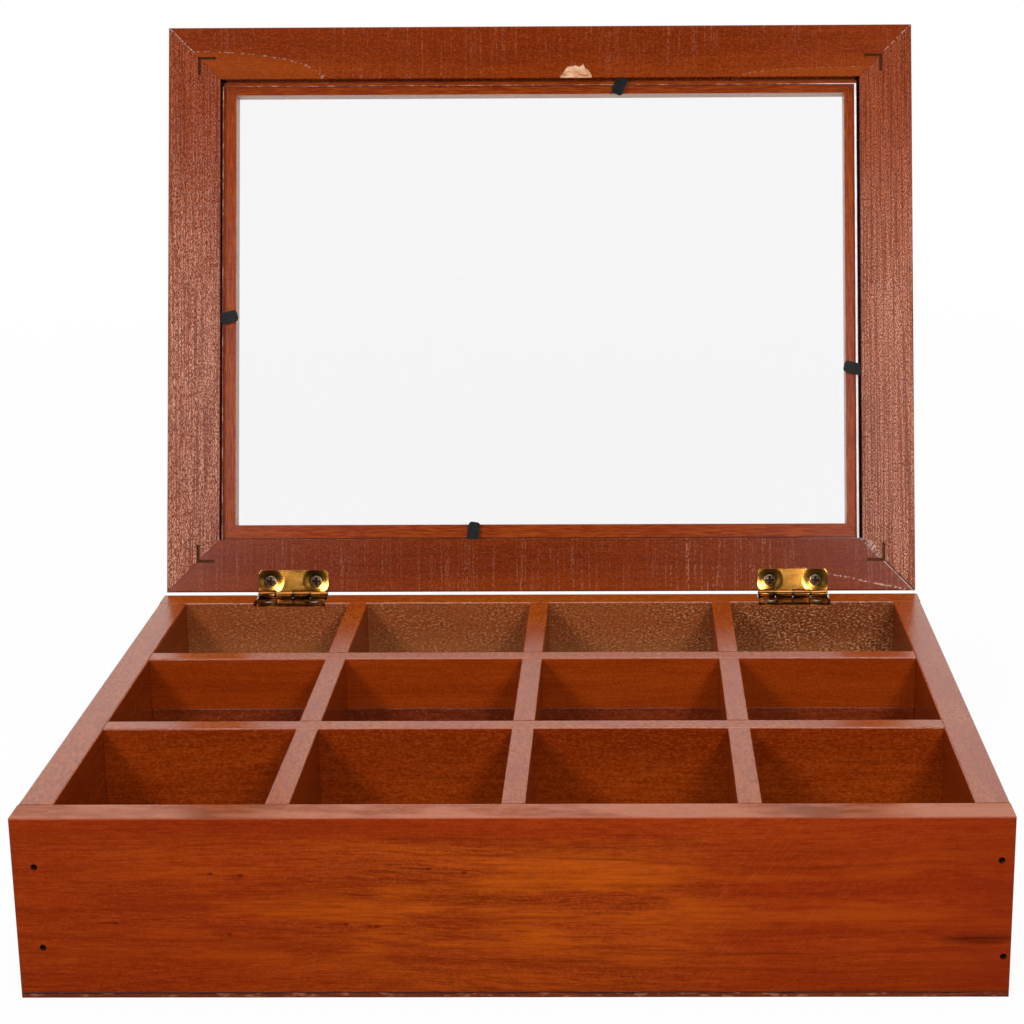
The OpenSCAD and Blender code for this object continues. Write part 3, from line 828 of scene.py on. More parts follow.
def rabbet_layer(n, v, colour, height, rough):
    """Parts every rail shares: a ledge painted lighter and richer, painted light for what reaches it through
    the pane, painted shade in the rabbet's corner, painted light on the wall of the opening and pale nicks on
    the arrises.
    """
    x, s, z = lid_place(n)
    across = n.minus(LID_HALF - RABBET_WALL, n.size(x))
    down = n.minus(LID_DEPTH / 2 - RABBET_WALL, n.size(n.minus(s, LID_DEPTH / 2)))
    inward = n.least(across, down)
    inside = short_of_back(n, z)
    deep = n.times(n.between(z, LID_FACE + 3.6 * MM, LID_FACE + 4.3 * MM), inside)
    # Painted light on the ledge behind the pane.
    lit_ledge = n.times(deep, n.between(inward, 0.4 * MM, 1.0 * MM))
    speck = n.between(n.noise(v, (160, 2000, 2000), detail=2), 0.34, 0.70)
    colour = n.mix(n.times(lit_ledge, 0.9), colour, n.mix(speck, LIT_LEDGE_DARK, LIT_LEDGE_LIGHT))
    # Painted shade at the foot of the rabbet's wall.
    corner = n.times(n.between(inward, 0.95 * MM, 0.55 * MM), n.between(inward, -0.25 * MM, -0.1 * MM))
    corner_shade = n.times(corner, n.between(z, LID_FACE + 0.6 * MM, LID_FACE + 1.6 * MM))
    corner_shade = n.times(corner_shade, inside, n.between(across, 2 * MM, 1 * MM, 0.4, 0.95))
    colour = n.mix(corner_shade, colour, RABBET_CORNER_SHADE)
    worn = n.attribute("wear")
    # The wall of the opening, away from the hinge rail, is painted pale: painted light.
    edge = n.times(n.between(inward, 5.75 * MM, 5.9 * MM), n.between(s, 24 * MM, 30 * MM))
    colour = n.mix(n.times(edge, 0.8), colour, OPENING_WALL_LIGHT)
    nick = n.between(n.noise(v, scale=900, detail=1), 0.60, 0.68)
    colour = n.mix(n.times(worn, nick, 0.7), colour, EDGE_NICK)
    return colour, height, rough


def mitre_scuffs(n, v, colour):
    """Dotted lines on the front mitres, and scratches, a pale lip and a dashed line at the opened one."""
    x, s, z = lid_place(n)
    face = n.between(z, LID_FACE + 0.6 * MM, LID_FACE + 0.3 * MM)
    from_side = n.minus(LID_HALF, n.size(x))
    from_end = n.minus(LID_DEPTH / 2, n.size(n.minus(s, LID_DEPTH / 2)))
    off = n.minus(from_side, from_end)
    dots = n.between(n.noise(v, scale=1100, detail=1), 0.45, 0.55)
    top = n.between(s, 120 * MM, 130 * MM)
    line = n.times(near(n, off, 0.15 * MM, 0.45 * MM), n.between(from_end, 11.5 * MM, 10 * MM))
    line = n.times(line, top, dots)
    colour = n.mix(n.times(line, face, 0.75), colour, MITRE_DOTS)
    right = n.times(n.between(x, 100 * MM, 110 * MM), n.between(s, 60 * MM, 50 * MM))
    turned = n.mapped(lid_vector(n), (0.0, 0.0, math.radians(52)))
    hair = n.between(n.noise(turned, (240, 1500, 1500), detail=1), 0.48, 0.58)
    zone = n.times(near(n, off, -0.6 * MM, 2.6 * MM), n.between(from_end, 12 * MM, 14 * MM))
    zone = n.times(zone, n.between(from_end, 23 * MM, 20 * MM))
    scratch = n.times(zone, hair, right)
    lip = n.times(near(n, off, 0.75 * MM, 0.35 * MM), n.between(from_end, 15 * MM, 13 * MM))
    scratch = n.most(scratch, n.times(lip, right, n.between(dots, 0.0, 1.0, 0.5, 1.0)))
    row = n.minus(6.6 * MM, n.times(n.minus(x, 116.4 * MM), 0.208))
    gaps = n.between(n.noise(v, (900, 900, 900), detail=1), 0.50, 0.56)
    dash = n.times(near(n, n.minus(s, row), 0.0, 0.5 * MM), n.times(gaps, right))
    mark = n.times(n.most(scratch, dash), face)
    return n.mix(n.times(mark, 0.8), colour, MITRE_SCRATCH)


def rail_marks(strength, relief, planed=()):
    """Broken cutter lines across a rail. planed lists smooth richer patches as ellipses in millimetres."""

    def layer(n, v, colour, height, rough):
        x, s, z = lid_place(n)
        tool = group_node(n, "tool", {"Vector": v, "Spread": 0.5})
        patches, rims = [], []
        for x0, s0, half_width, half_depth in planed:
            dx = n.over(n.minus(x, x0 * MM), half_width * MM)
            ds = n.over(n.minus(s, s0 * MM), half_depth * MM)
            away = n.distance(dx, ds)
            patches.append(n.times(n.between(away, 1.02, 0.96), short_of_back(n, z)))
            rims.append(n.times(near(n, away, 1.0, 0.03), short_of_back(n, z)))
        smooth = n.most(*patches) if planed else 0.0
        rim = n.most(*rims) if planed else 0.0
        rough_part = n.minus(1.0, smooth)
        mask = n.times(tool["Mask"], strength, rough_part)
        mask = n.times(mask, n.between(n.minus(x, n.times(s, 3.0)), -60 * MM, 40 * MM, 0.40, 1.0))
        colour = n.mix(mask, colour, CUTTER_LINE)
        colour = n.mix(n.times(smooth, 0.3), colour, PLANED)
        dots = n.between(n.noise(v, scale=900, detail=1), 0.50, 0.60)
        colour = n.mix(n.times(rim, dots, 0.35), colour, PLANED_RIM)
        colour, height, rough = rabbet_layer(n, v, colour, height, rough)
        colour = mitre_scuffs(n, v, colour)
        height = n.plus(height, n.times(tool["Height"], rough_part, relief))
        return colour, height, rough

    return layer


def streak_marks(n, v, colour, height, rough):
    """Raised grain along a side rail, whose crests carry a painted sheen, most of all in the half by the
    hinges.
    """
    s = lid_place(n)[1]
    crest = n.noise(v, (1300, 3900, 3900), detail=2, roughness=0.6)
    comb = n.noise(v, (22, 2400, 2400), detail=1)
    sheen = n.between(s, 205 * MM, 105 * MM, 0.16, 0.66)
    high = n.times(n.between(crest, 0.46, 0.60), n.between(comb, 0.42, 0.56, 0.30, 1.0))
    pit = n.between(crest, 0.50, 0.36)
    colour = n.mix(n.times(n.between(comb, 0.48, 0.34), 0.5), colour, FURROW)
    colour = n.mix(n.times(pit, 0.65), colour, FURROW_PIT)
    # Painted sheen on the crests.
    colour = n.mix(n.times(high, sheen), colour, CREST_SHEEN)
    colour, height, rough = rabbet_layer(n, v, colour, height, rough)
    colour = mitre_scuffs(n, v, colour)
    height = n.plus(height, n.times(n.plus(crest, comb), 3.5))
    return colour, height, rough


def bare_layer(inner):
    """Adds raw wood where the piece is chipped to another layer."""

    def layer(n, v, colour, height, rough):
        colour, height, rough = inner(n, v, colour, height, rough)
        bare = n.attribute("bare")
        raw = Vector(bpy.context.scene.divbox_colours.raw)
        fibre = n.between(n.noise(v, (300, 800, 800), detail=2), 0.38, 0.60)
        crack = n.between(n.noise(v, (260, 420, 420), detail=2), 0.62, 0.68)
        raw_wood = n.mix(fibre, rgba((0.78 * raw.x, 0.62 * raw.y, 0.52 * raw.z)), rgba(raw))
        raw_wood = n.mix(n.times(crack, 0.7), raw_wood, CRACK)
        colour = n.mix(n.between(bare, 0.35, 0.6), colour, raw_wood)
        rough = n.most(rough, n.times(bare, 0.75))
        return colour, height, rough

    return layer


# How far along the mitre its gap runs in from the corner.
MITRE_REACH = 15 * MM


def open_mitre(bm, gap, along):
    """Draws a rail's end back from the mitre at the rear right corner, most at the outer corner."""
    for v in bm.verts:
        from_right = LID_HALF - v.co.x
        from_rear = LID_REAR - v.co.y
        if abs(from_right - from_rear) < 1.0 * MM and max(from_right, from_rear) < MITRE_REACH:
            share = 1.0 - max(from_right, from_rear) / MITRE_REACH
            if along == "X":
                v.co.x -= gap / 2 * share
            else:
                v.co.y -= gap / 2 * share


# The chip in the front rail, in millimetres: where it starts, its width, how far it is cut up in from
# the rabbet's wall, the spacing of those cuts, and its outline as shares of the width with depths in
# from the wall.
CHIP_LEFT, CHIP_WIDTH, CHIP_REACH = 8.4, 12.5, 6.6
CHIP_STEP = 0.3
CHIP_OUTLINE = ((0.0, 0.4), (0.12, 2.6), (0.25, 4.6), (0.45, 5.0), (0.62, 4.4), (0.74, 5.5), (0.80, 3.8),
                (0.92, 3.0), (1.0, 0.8))


def chip_share(x, s):
    """How far a point of the front rail, in millimetres, lies inside the chip: 0 outside, 1 well inside."""
    t = (x - CHIP_LEFT) / CHIP_WIDTH
    if not 0.0 <= t <= 1.0:
        return 0.0
    for (t0, h0), (t1, h1) in zip(CHIP_OUTLINE, CHIP_OUTLINE[1:]):
        if t <= t1:
            top = h0 + (h1 - h0) * (t - t0) / (t1 - t0)
            break
    ragged = 0.45 * noise.noise(Vector((x * 0.9, s * 0.9, 0.0)))
    return min(1.0, max(0.0, (top + ragged - s) / 0.4 + 0.5))


def tear_chip(bm, depth):
    """Tears a shallow chip out of the front rail at the edge of the rabbet."""
    wall = LID_REAR - LID_DEPTH + RABBET_WALL
    left = CHIP_LEFT * MM

    def at_chip(face):
        at = face.calc_center_median()
        on_face = abs(at.z - LID_FACE) < 0.3 * MM
        return on_face and left - 3 * MM < at.x < left + 16 * MM and abs(at.y - wall) < 14 * MM

    slices(bm, AXES["X"], left - 0.8 * MM, left + (CHIP_WIDTH + 1.1) * MM, CHIP_STEP * MM)
    slices(bm, AXES["Y"], wall - CHIP_REACH * MM, wall, CHIP_STEP * MM, at_chip)
    bare = bm.verts.layers.float.new("bare")
    for v in bm.verts:
        if v.co.z > LID_FACE + 0.4 * MM:
            continue
        share = chip_share(v.co.x / MM, (wall - v.co.y) / MM)
        v[bare] = share
        torn = 0.7 + 0.9 * noise.noise(Vector((v.co.x * 420, v.co.y * 900, 3.0)))
        v.co.z += depth * share * torn


# Planed patches of the front rail, in millimetres: middle across, middle from the hinge edge, half
# width and half depth.
PLANED_PATCHES = ((-140.0, 206.6, 53.0, 11.5), (137.0, 206.6, 58.0, 4.2))

# What depends on the way a rail runs: the spacing of its cuts, the strength and scale of its edges'
# wobble, its fibre and its shade.
RAIL_CUT = {"X": 4 * MM, "Y": 1.2 * MM}
RAIL_WOBBLE = {"X": (1.3, 110.0), "Y": (2.2, 420.0)}
RAIL_FIBRE = {"X": 0.22, "Y": 0.45}
RAIL_SHADE = {"X": 0.86, "Y": 1.0}


class DIVBOX_OT_rails(bpy.types.Operator):
    """Builds the four mitred rails of the lid, one of them chipped, and opens one mitre"""

    bl_idname = "divbox.rails"
    bl_label = "Lid rails"

    def execute(self, context):
        sizes = context.scene.divbox_sizes
        for side, turn, seed, along, marks in (
                ("front", LID_ALONG_X, 21.0, "X", bare_layer(rail_marks(0.45, 1.6, PLANED_PATCHES))),
                ("rear", LID_ALONG_X, 22.0, "X", rail_marks(0.45, 1.8)),
                ("left", LID_ALONG_Y, 23.0, "Y", streak_marks),
                ("right", LID_ALONG_Y, 24.0, "Y", streak_marks)):
            bm = merged_copy(f"lid_rail_{side}")
            lid_coordinates(bm)
            soften(bm, sizes.rail_arris, 6 * MM)
            axis = AXES[along]
            ends = [v.co.dot(axis) for v in bm.verts]
            slices(bm, axis, min(ends), max(ends), RAIL_CUT[along])
            if side == "front":
                tear_chip(bm, sizes.chip_depth)
            strength, scale = RAIL_WOBBLE[along]
            wobble_edges(bm, sizes.wobble * strength, scale)
            if side in ("rear", "right"):
                open_mitre(bm, sizes.mitre_gap, along)
            frame_coordinates(bm)
            stained = wood(f"{side} lid rail", turn, seed, LID_STAIN, figure=0.8, fibre=RAIL_FIBRE[along],
                           pores=0.2, blotch=0.3, grit=0.4, roughness=0.24, specular=0.08, relief=0.000014,
                           wear=0.6, shade=RAIL_SHADE[along], layers=marks)
            finish_piece(bm, f"rail_{side}", LID, [f"lid_rail_{side}"], stained)
        return {"FINISHED"}


# The frosted ring: how far it stands off the pane, its thickness, how far in from the pane's edge it
# starts, and the shares of the ground band that it takes at the left, the front and the rear.
ARRIS_GAP = 0.02 * MM
ARRIS_THICK = 0.015 * MM
ARRIS_INSET = 0.1 * MM
ARRIS_LEFT, ARRIS_FRONT, ARRIS_REAR = 0.4, 0.35, 0.05


class DIVBOX_OT_glass(bpy.types.Operator):
    """Builds the pane, pushed to one side of its rabbet, and its ground arris"""

    bl_idname = "divbox.glass"
    bl_label = "Glass pane"

    def execute(self, context):
        sizes = context.scene.divbox_sizes
        material, _, shader = fresh_material("clear glass")
        shader.inputs["Transmission Weight"].default_value = 1.0
        shader.inputs["IOR"].default_value = 1.5
        shader.inputs["Roughness"].default_value = 0.0
        shader.inputs["Base Color"].default_value = (1.0, 0.992, 1.0, 1)
        bm = merged_copy("glass_pane")
        bmesh.ops.translate(bm, verts=bm.verts, vec=(-sizes.pane_shift, 0, 0))
        soften(bm, sizes.glass_arris, 1 * MM)
        pane = finish_piece(bm, "pane", LID, ["glass_pane"], material)
        pane.visible_shadow = False
        self.keep_lamps_off(pane)
        self.ground_arris(sizes)
        return {"FINISHED"}

    @staticmethod
    def keep_lamps_off(pane):
        """Keeps the lamps' hard square images out of the pane. It still shows the pieces round it."""
        apart = bpy.data.collections.new("unlit by lamps")
        apart.objects.link(pane)
        for lamp in [o for o in bpy.context.scene.objects if o.type == "LIGHT"]:
            lamp.light_linking.receiver_collection = apart
        apart.collection_objects[0].light_linking.link_state = "EXCLUDE"

    @staticmethod
    def ground_arris(sizes):
        """A thin frosted ring along the edges of the pane's inner face, paler on its right side as a painted
        highlight where that edge catches the light.
        """
        material, n, shader = fresh_material("ground glass")
        frost = n.between(n.noise(n.place(), scale=260, detail=3), 0.46, 0.66)
        stained = n.mix(frost, *FROST_STAINED)
        lit_frost = n.mix(frost, *FROST_LIT_EDGE)
        # The right side of the ring is painted paler: a painted highlight.
        bright = n.between(lid_place(n)[0], 100 * MM, 120 * MM)
        n.put(shader.inputs["Base Color"], n.mix(bright, stained, lit_frost))
        shader.inputs["Roughness"].default_value = 0.6
        source = merged_copy("glass_pane")
        lid_coordinates(source)
        low = Vector(min(v.co[i] for v in source.verts) for i in range(3))
        high = Vector(max(v.co[i] for v in source.verts) for i in range(3))
        source.free()
        bm = bmesh.new()
        z = low.z - ARRIS_GAP
        back = z + ARRIS_THICK
        wide = sizes.arris_band
        rings = []
        for k, level in ((0.0, z), (wide, z), (wide, back), (0.0, back)):
            x0 = low.x - sizes.pane_shift + ARRIS_INSET + ARRIS_LEFT * k
            x1 = high.x - sizes.pane_shift - ARRIS_INSET - k
            y0, y1 = low.y + ARRIS_INSET + ARRIS_FRONT * k, high.y - ARRIS_INSET - ARRIS_REAR * k
            rings.append([bm.verts.new((x, y, level)) for x, y in ((x0, y0), (x1, y0), (x1, y1), (x0, y1))])
        for inner, outer in zip(rings, rings[1:] + rings[:1]):
            for k in range(4):
                bm.faces.new((inner[k], inner[(k + 1) % 4], outer[(k + 1) % 4], outer[k]))
        frame_coordinates(bm)
        finish_piece(bm, "pane_arris", LID, [], material)


class DIVBOX_OT_points(bpy.types.Operator):
    """Builds the glazing points and gives the corner fasteners their finish"""

    bl_idname = "divbox.points"
    bl_label = "Glazing points and corner fasteners"

    def execute(self, context):
        c = context.scene.divbox_colours
        material, n, shader = fresh_material("blackened steel")
        place = n.place()
        mottle = n.noise(place, scale=900, detail=3)
        edge = n.attribute("wear")
        black = n.mix(n.between(mottle, 0.45, 0.75), rgba(c.black), BLACK_SPOT)
        # Bevel faces get a paler rim: a painted highlight.
        n.put(shader.inputs["Base Color"], n.mix(n.times(edge, 0.5), black, BLACK_RIM_HIGHLIGHT))
        n.put(shader.inputs["Roughness"], n.between(mottle, 0.3, 0.7, 0.34, 0.46))
        shader.inputs["Specular IOR Level"].default_value = 0.12
        n.put(shader.inputs["Normal"], bump(n, n.noise(place, scale=2500, detail=2), 0.00002))
        stained = metal("fastener steel", FASTENER_STEEL, 0.5, 0.5, 4.0)
        for side in ("front", "rear", "left", "right"):
            bm = merged_copy(f"glazing_point_{side}")
            soften(bm, context.scene.divbox_sizes.metal_arris, 0.4 * MM, 30.0)
            finish_piece(bm, f"point_{side}", LID, [f"glazing_point_{side}"], material, 30)
        for end in ("front", "rear"):
            for side in ("left", "right"):
                give(f"corner_fastener_{end}_{side}", stained)
        return {"FINISHED"}


# ---------------------------------------------------------------- operators: metal


# The hinges, in millimetres: their middles, half the distance between a leaf's screws, how far the
# screws stand from the pin, the radius of a head, half the width and length of a cross recess's slots,
# and how far each barrel reaches: the box's from the pin, the lid's from the lid's hinge edge.
HINGE_X = (-98.70, 100.60)
SCREW_HALF, SCREW_ROW, SCREW_HEAD = 9.1, 5.6, 2.2
SLOT_HALF, SLOT_REACH = 0.5, 1.5
BARREL_EDGE = {BOX: 1.9, LID: 0.6}

# How many knuckles a hinge has along its pin.
KNUCKLES = 4

# Edges of metal sharper than this many degrees stay sharp.
METAL_SMOOTH = 35


def screw_offsets(n, owner):
    """Offsets from the nearest hinge screw's axis along and across the hinge, in the plane of the leaf."""
    if owner == LID:
        x, y, _ = n.split(lid_vector(n))
    else:
        x, y, _ = object_place(n)
        y = n.minus(y, PIN.y)
    left, right = (n.size(n.minus(x, middle * MM)) for middle in HINGE_X)
    return n.minus(n.least(left, right), SCREW_HALF * MM), n.plus(y, SCREW_ROW * MM)


def screw_distance(n, owner):
    dx, dy = screw_offsets(n, owner)
    return n.distance(dx, dy)


def cross_recess(n, tone):
    """Painted shade in the cross recess and on the middle of each head, which leaves a lit rim, for every
    hinge screw, whichever leaf it holds.
    """
    for owner in (BOX, LID):
        dx, dy = screw_offsets(n, owner)
        wide, deep = n.size(dx), n.size(dy)
        slot = n.between(n.least(wide, deep), (SLOT_HALF + 0.1) * MM, (SLOT_HALF - 0.1) * MM)
        reach = n.between(n.most(wide, deep), (SLOT_REACH + 0.15) * MM, (SLOT_REACH - 0.15) * MM)
        away = n.distance(dx, dy)
        # Darker middle of each head: painted shade, leaving a lit rim.
        worn = n.times(n.between(away, 1.8 * MM, 1.5 * MM), 0.5)
        tone = n.mix(worn, tone, HEAD_MIDDLE_SHADE)
        tone = n.mix(n.times(slot, reach), tone, RECESS_SHADE)
    return tone


def metal(name, colour, roughness, tarnish, seed, owner=None):
    """Rolled metal with faint smears and tarnish.

    A leaf, which has an owner, is dished round its screws, carries a painted shadow ring round their heads,
    is dark at its barrel and has painted shade in the gaps between its knuckles.
    """
    material, n, shader = fresh_material(name)
    v = n.vector("ADD", n.place(), (seed, 0.0, 0.0))
    smear = n.noise(v, (120, 420, 420), detail=3, roughness=0.6)
    spot = n.between(n.noise(v, (500, 500, 500), detail=2), 0.50, 0.75)
    dull = tuple(0.35 * part for part in colour[:3])
    tone = n.mix(n.times(spot, tarnish), rgba(colour), rgba(dull))
    edge = n.attribute("wear")
    recess = n.attribute("recess")
    tone = n.mix(n.times(edge, 0.35), tone, rgba(dull))
    # Walls and floor of the cross recess: painted shade.
    tone = n.mix(n.times(recess, 0.9), tone, RECESS_WALL_SHADE)
    normal = bump(n, smear, 0.000005)
    if owner:
        away = screw_distance(n, owner)
        # A painted shadow ring round each screw head.
        rim = n.times(n.between(away, 3.1 * MM, 2.4 * MM), n.between(away, 1.9 * MM, 2.2 * MM))
        tone = n.mix(n.times(rim, 0.85), tone, HEAD_RING_SHADOW)
        normal = bump(n, n.between(away, 1.4 * MM, 5.6 * MM), 0.0004, normal=normal)
        fold = lid_place(n)[1] if owner == LID else n.minus(PIN.y, object_place(n)[1])
        barrel = n.between(fold, BARREL_EDGE[owner] * MM, BARREL_EDGE[owner] * MM - 0.3 * MM)
        tone = n.mix(n.times(barrel, 0.75), tone, BARREL)
        low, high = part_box("hinge_left_lid_leaf")
        pitch = (high.x - low.x) / KNUCKLES
        along = n.plus(screw_offsets(n, owner)[0], SCREW_HALF * MM)
        joint = n.minus(n.math("FRACT", n.plus(n.over(along, pitch), 0.5)), 0.5)
        joint = n.between(n.times(n.size(joint), pitch), 0.5 * MM, 0.25 * MM)
        # Painted shade in the gaps between the knuckles.
        tone = n.mix(n.times(joint, barrel, 0.9), tone, KNUCKLE_GAP_SHADE)
    else:
        tone = cross_recess(n, tone)
    n.put(shader.inputs["Base Color"], tone)
    n.put(shader.inputs["Roughness"], n.between(smear, 0.3, 0.7, roughness - 0.02, roughness + 0.03))
    n.put(shader.inputs["Normal"], normal)
    shader.inputs["Metallic"].default_value = 1.0
    return material


class DIVBOX_OT_hinges(bpy.types.Operator):
    """Builds the leaves of both hinges and gives the pins their finish"""

    bl_idname = "divbox.hinges"
    bl_label = "Hinges"

    def execute(self, context):
        c = context.scene.divbox_colours
        # A darkened pin: painted shade in the knuckle gaps.
        pin = metal("pin steel", SHADED_PIN_STEEL, 0.4, 0.2, 1.0)
        for body, shade in ((BOX, 0.45), (LID, 1.0)):
            brass = metal(f"plated brass {body}", shade * Vector(c.brass), 0.155, 0.4, 0.0, body)
            for side in ("left", "right"):
                node = f"hinge_{side}_{body}_leaf"
                bm = merged_copy(node)
                soften(bm, context.scene.divbox_sizes.metal_arris, 0.5 * MM, 50.0)
                finish_piece(bm, f"leaf_{side}_{body}", body, [node], brass, METAL_SMOOTH)
        for side in ("left", "right"):
            give(f"hinge_{side}_pin", pin)
        return {"FINISHED"}


class DIVBOX_OT_screws(bpy.types.Operator):
    """Builds the hinge screws with painted shade in their cross recesses and gives the brads their finish"""

    bl_idname = "divbox.screws"
    bl_label = "Screws and brads"

    def execute(self, context):
        c = context.scene.divbox_colours
        bright = metal("screw steel", c.steel, 0.30, 0.3, 2.0)
        dark = metal("brad steel", BRAD_STEEL, 0.5, 0.5, 3.0)
        for side, middle in zip(("left", "right"), HINGE_X):
            for body in (BOX, LID):
                node = f"hinge_{side}_{body}_screws"
                bm = merged_copy(node)
                self.mark_recess(bm, body, middle * MM)
                finish_piece(bm, f"screws_{side}_{body}", body, [node], bright, METAL_SMOOTH)
        for node in ("corner_brads_front", "corner_brads_back", "bottom_brads"):
            give(node, dark)
        return {"FINISHED"}

    @staticmethod
    def mark_recess(bm, body, hinge):
        """Marks the walls and floor of each cross recess: faces near an axis that aren't of the dome."""
        to_leaf = TO_LID if body == LID else Matrix.Translation(-PIN)
        recess = bm.faces.layers.float.new("recess")
        bm.normal_update()
        for face in bm.faces:
            at = to_leaf @ face.calc_center_median()
            out = to_leaf.to_3x3() @ face.normal
            dx = abs(at.x - hinge) - SCREW_HALF * MM
            away = math.hypot(dx, at.y + SCREW_ROW * MM)
            if away < 0.8 * SCREW_HEAD * MM and abs(at.z) < 1.6 * MM:
                floor, wall = abs(out.z) > 0.9999, abs(out.z) < 0.5
                if floor or wall:
                    face[recess] = 1.0


# ---------------------------------------------------------------- operators: stage


# The stage, in metres and degrees: the point that the lamps look at, the front lamps' directions and
# distance, and the place and width of the lamp overhead.
LOOK_AT = Vector((0.0, 0.0, 0.05))
KEY_AZIMUTHS = (("key left", -23.0), ("key right", 17.0))
KEY_ELEVATION = 24.0
KEY_AWAY = 1.8
TOP_PLACE = Vector((0.0, 0.05, 1.65))
TOP_WIDTH = 0.9
FLOOR_HALF = 6.0

# The camera: its sensor, shift, place, and its own axes.
SENSOR = 36.0
SHIFT = (-0.0921, 0.0008)
CAMERA_PLACE = Vector((34.75 * MM, -715.94 * MM, 310.32 * MM))
CAMERA_RIGHT = Vector((0.99995, 0.00848, -0.00551))
CAMERA_UP = Vector((0.00318, 0.25415, 0.96716))
CAMERA_BACK = Vector((0.00960, -0.96713, 0.25411))


def sight(n):
    """Masks of what is seen straight or through glass, and of what is seen in a shiny face.

    Neither outlives a matt bounce.
    """
    paths = n.add("ShaderNodeLightPath").outputs
    unbroken = n.minus(1.0, n.least(paths["Diffuse Depth"], 1.0))
    shiny = n.least(paths["Glossy Depth"], 1.0)
    straight = n.most(paths["Is Camera Ray"], paths["Is Transmission Ray"])
    straight = n.times(straight, unbroken, n.minus(1.0, shiny))
    return straight, n.times(unbroken, shiny)


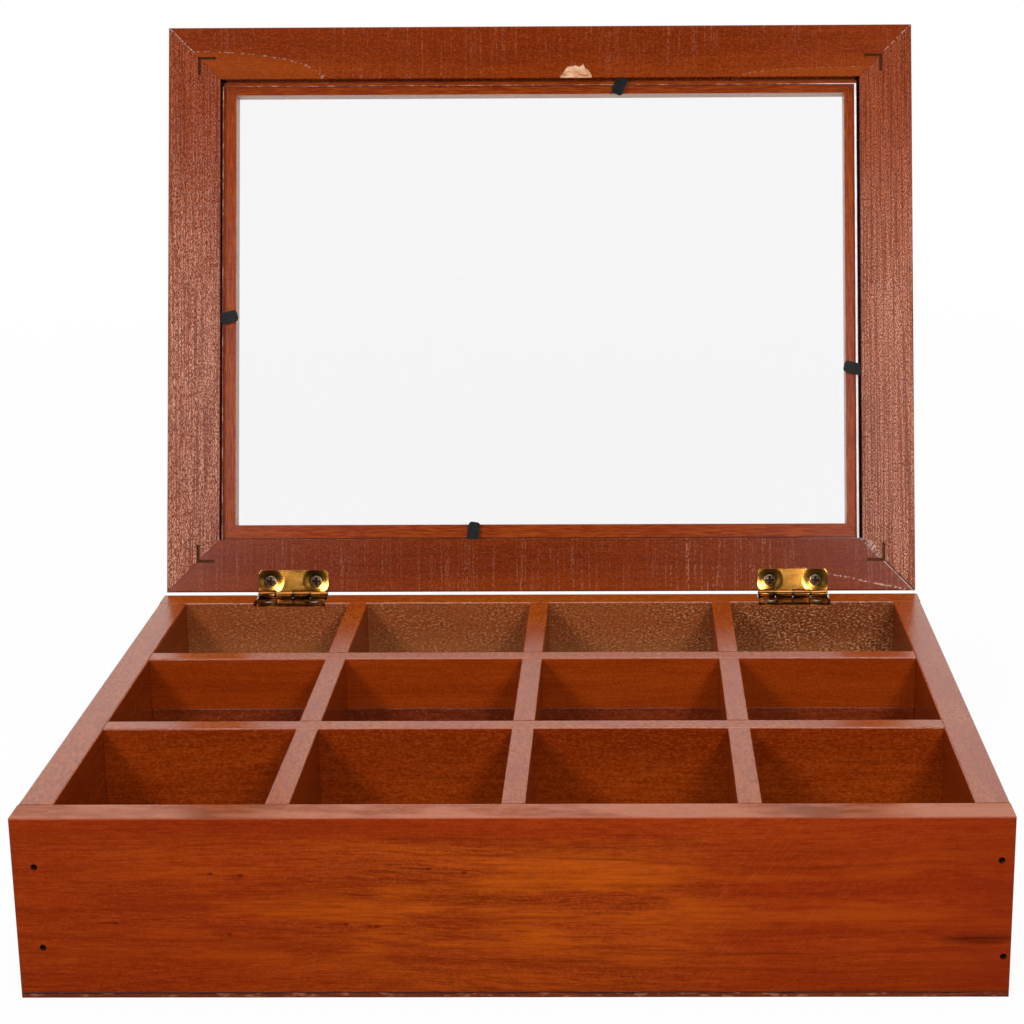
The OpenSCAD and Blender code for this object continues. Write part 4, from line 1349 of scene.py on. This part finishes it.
class DIVBOX_OT_stage(bpy.types.Operator):
    """Lays the floor, hangs the lamps and sets the camera"""

    bl_idname = "divbox.stage"
    bl_label = "Stage"

    def execute(self, context):
        scene = context.scene
        settings = scene.divbox_stage
        scene.view_settings.view_transform = "Standard"
        self.lay_floor(scene.divbox_colours.floor)
        for name, azimuth in KEY_AZIMUTHS:
            around, up = math.radians(azimuth), math.radians(KEY_ELEVATION)
            away = Vector((math.sin(around) * math.cos(up), -math.cos(around) * math.cos(up), math.sin(up)))
            self.hang_lamp(name, LOOK_AT + KEY_AWAY * away, settings.key_size, settings.key_power)
        self.hang_lamp("top", TOP_PLACE, TOP_WIDTH, settings.top_power)
        self.light_world(scene, settings.ambient)
        self.set_camera(scene, settings.lens)
        return {"FINISHED"}

    @staticmethod
    def lay_floor(colour):
        material = bpy.data.materials.new("floor")
        material.use_nodes = True
        tree = material.node_tree
        tree.nodes.clear()
        n = Nodes(tree)
        seen, mirrored = sight(n)
        behind = n.between(object_place(n)[1], 0.02, 0.25)
        seen = n.most(seen, n.times(mirrored, behind))
        shade = n.mix(mirrored, rgba(colour), FLOOR_MIRRORED)
        matte = n.add("ShaderNodeBsdfDiffuse", {"Color": shade})
        white = n.add("ShaderNodeEmission", {"Color": (1, 1, 1, 1), "Strength": 1.0})
        away = n.add("ShaderNodeVectorMath", {0: n.place()}, operation="LENGTH").outputs["Value"]
        glow = n.times(seen, n.between(away, 0.3, 1.4, 0.94, 1.0))
        mixed = n.add("ShaderNodeMixShader", {0: glow, 1: matte.outputs[0], 2: white.outputs[0]})
        n.add("ShaderNodeOutputMaterial", {"Surface": mixed.outputs[0]})
        bm = bmesh.new()
        bmesh.ops.create_grid(bm, x_segments=1, y_segments=1, size=FLOOR_HALF)
        mesh = bpy.data.meshes.new("floor")
        bm.to_mesh(mesh)
        bm.free()
        floor = bpy.data.objects.new("floor", mesh)
        bpy.context.scene.collection.objects.link(floor)
        mesh.materials.append(material)

    @staticmethod
    def hang_lamp(name, place, size, power):
        data = bpy.data.lights.new(name, "AREA")
        data.shape = "RECTANGLE"
        data.size = size
        data.size_y = size
        data.energy = power
        lamp = bpy.data.objects.new(name, data)
        lamp.location = place
        lamp.rotation_euler = (LOOK_AT - place).to_track_quat("-Z", "Y").to_euler()
        bpy.context.scene.collection.objects.link(lamp)

    @staticmethod
    def light_world(scene, ambient):
        world = bpy.data.worlds.new("studio")
        scene.world = world
        world.use_nodes = True
        tree = world.node_tree
        tree.nodes.clear()
        n = Nodes(tree)
        seen, shiny = sight(n)
        towards = n.split(n.add("ShaderNodeTexCoord").outputs["Generated"])["Y"]
        mirrored = n.between(towards, -0.05, 0.25, 0.02, 1.0)
        even = n.add("ShaderNodeMapRange",
                     {"Value": seen, "To Min": ambient, "To Max": 1.0}).outputs["Result"]
        ends = {"To Min": even, "To Max": mirrored}
        strength = n.add("ShaderNodeMapRange", {"Value": shiny, **ends}).outputs["Result"]
        background = n.add("ShaderNodeBackground", {"Color": (1, 1, 1, 1), "Strength": strength})
        n.add("ShaderNodeOutputWorld", {"Surface": background.outputs[0]})

    @staticmethod
    def set_camera(scene, lens):
        data = bpy.data.cameras.new("camera")
        data.sensor_width = SENSOR
        data.lens = lens
        data.shift_x, data.shift_y = SHIFT
        camera = bpy.data.objects.new("camera", data)
        turn = Matrix((CAMERA_RIGHT, CAMERA_UP, CAMERA_BACK)).transposed()
        camera.matrix_world = Matrix.Translation(CAMERA_PLACE) @ turn.to_4x4()
        scene.collection.objects.link(camera)
        scene.camera = camera


# ---------------------------------------------------------------- panel and start


STEPS = (DIVBOX_OT_stage, DIVBOX_OT_walls, DIVBOX_OT_bottom, DIVBOX_OT_dividers, DIVBOX_OT_rails,
         DIVBOX_OT_glass, DIVBOX_OT_points, DIVBOX_OT_hinges, DIVBOX_OT_screws)


class DIVBOX_PT_panel(bpy.types.Panel):
    """Sizes, colours and steps of the divided box"""

    bl_idname = "DIVBOX_PT_panel"
    bl_label = "Divided Box"
    bl_space_type = "VIEW_3D"
    bl_region_type = "UI"
    bl_category = "Divided Box"

    def draw(self, context):
        for group in (context.scene.divbox_sizes, context.scene.divbox_colours, context.scene.divbox_stage):
            box = self.layout.box()
            for key in group.__annotations__:
                box.prop(group, key)
        for step in STEPS:
            self.layout.operator(step.bl_idname)


CLASSES = (DIVBOX_PG_sizes, DIVBOX_PG_colours, DIVBOX_PG_stage, *STEPS, DIVBOX_PT_panel)


def register():
    for cls in CLASSES:
        bpy.utils.register_class(cls)
    bpy.types.Scene.divbox_sizes = bpy.props.PointerProperty(type=DIVBOX_PG_sizes)
    bpy.types.Scene.divbox_colours = bpy.props.PointerProperty(type=DIVBOX_PG_colours)
    bpy.types.Scene.divbox_stage = bpy.props.PointerProperty(type=DIVBOX_PG_stage)


def unregister():
    del bpy.types.Scene.divbox_stage
    del bpy.types.Scene.divbox_colours
    del bpy.types.Scene.divbox_sizes
    for cls in reversed(CLASSES):
        bpy.utils.unregister_class(cls)


def main():
    register()
    for step in STEPS:
        family, name = step.bl_idname.split(".")
        getattr(getattr(bpy.ops, family), name)()


if __name__ == "__main__":
    main()
